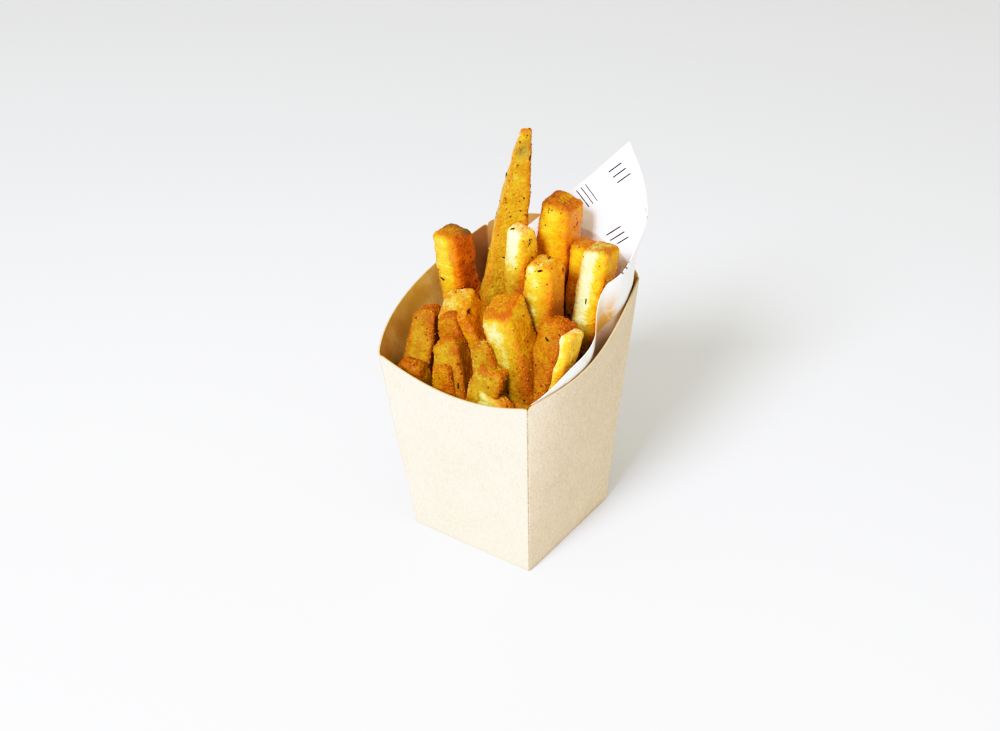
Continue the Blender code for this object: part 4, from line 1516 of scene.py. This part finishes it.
class FRIES_OT_heap(bpy.types.Operator):
    """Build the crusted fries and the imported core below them"""

    bl_idname = "fries.heap"
    bl_label = "Fries"

    def execute(self, context):
        scene = context.scene
        heap = build_fries(scene.fries_heap)
        dress(heap, "fried_potato", "fries")
        core = build_core(scene.fries_carton, scene.fries_paper, heap.data.materials[0])
        dress(core, "fried_potato", "fries")
        return {"FINISHED"}


class FRIES_OT_seasoning(bpy.types.Operator):
    """Scatter herb flecks, ground specks and crust crumbs over the fries"""

    bl_idname = "fries.seasoning"
    bl_label = "Seasoning"

    def execute(self, context):
        heap = bpy.data.objects.get("fries_heap")
        if heap is None:
            raise RuntimeError("Build the fries before the seasoning")
        season = context.scene.fries_seasoning
        mark_exposed(heap)
        tree = scatter_tree()
        herb = scatter_material("dried_herb", season.herb)
        speck = scatter_material("ground_spice", season.speck)
        crumb = potato_material(context.scene.fries_heap, "crust_crumb", season.crumb_paleness)
        pieces = [
            scatter("herb_flecks", heap, tree, herb, HERB_SEED, season.herbs, "exposed",
                    season.herb_length, HERB_SHAPE),
            scatter("ground_specks", heap, tree, speck, SPECK_SEED, season.specks, "exposed",
                    season.speck_size, SPECK_SHAPE),
            scatter("crust_crumbs", heap, tree, crumb, CRUMB_SEED, season.crumbs, "crumbly",
                    season.crumb_size, CRUMB_SHAPE),
        ]
        for piece in pieces:
            dress(piece, "fried_potato")
        return {"FINISHED"}


class FRIES_OT_stage(bpy.types.Operator):
    """Add the floor, the lights and the camera"""

    bl_idname = "fries.stage"
    bl_label = "Stage"

    def execute(self, context):
        stage = context.scene.fries_stage
        add_floor(stage)
        add_sky(stage.sky)
        add_key(stage)
        add_camera()
        set_response(context.scene.view_settings)
        return {"FINISHED"}


class FRIES_PT_pieces(bpy.types.Panel):
    """Lists the pieces in the order in which they are built"""

    bl_label = "Fries in a Carton"
    bl_space_type = "VIEW_3D"
    bl_region_type = "UI"
    bl_category = "Fries"

    def draw(self, context):
        for operator, settings in STEPS:
            box = self.layout.box()
            box.operator(operator.bl_idname)
            group = getattr(context.scene, settings)
            for name in group.bl_rna.properties.keys():
                if name not in ("rna_type", "name"):
                    box.prop(group, name)


SETTINGS = {
    "fries_carton": CartonSettings,
    "fries_paper": PaperSettings,
    "fries_heap": FrySettings,
    "fries_seasoning": SeasoningSettings,
    "fries_stage": StageSettings,
}
STEPS = [
    (FRIES_OT_carton, "fries_carton"),
    (FRIES_OT_paper, "fries_paper"),
    (FRIES_OT_heap, "fries_heap"),
    (FRIES_OT_seasoning, "fries_seasoning"),
    (FRIES_OT_stage, "fries_stage"),
]


def register():
    for name, group in SETTINGS.items():
        bpy.utils.register_class(group)
        setattr(bpy.types.Scene, name, bpy.props.PointerProperty(type=group))
    for operator, _ in STEPS:
        bpy.utils.register_class(operator)
    bpy.utils.register_class(FRIES_PT_pieces)


def unregister():
    bpy.utils.unregister_class(FRIES_PT_pieces)
    for operator, _ in reversed(STEPS):
        bpy.utils.unregister_class(operator)
    for name, group in reversed(SETTINGS.items()):
        delattr(bpy.types.Scene, name)
        bpy.utils.unregister_class(group)


def main():
    register()
    noise.seed_set(NOISE_SEED)
    bpy.ops.fries.carton()
    bpy.ops.fries.paper()
    bpy.ops.fries.heap()
    bpy.ops.fries.seasoning()
    bpy.ops.fries.stage()


if __name__ == "__main__":
    main()
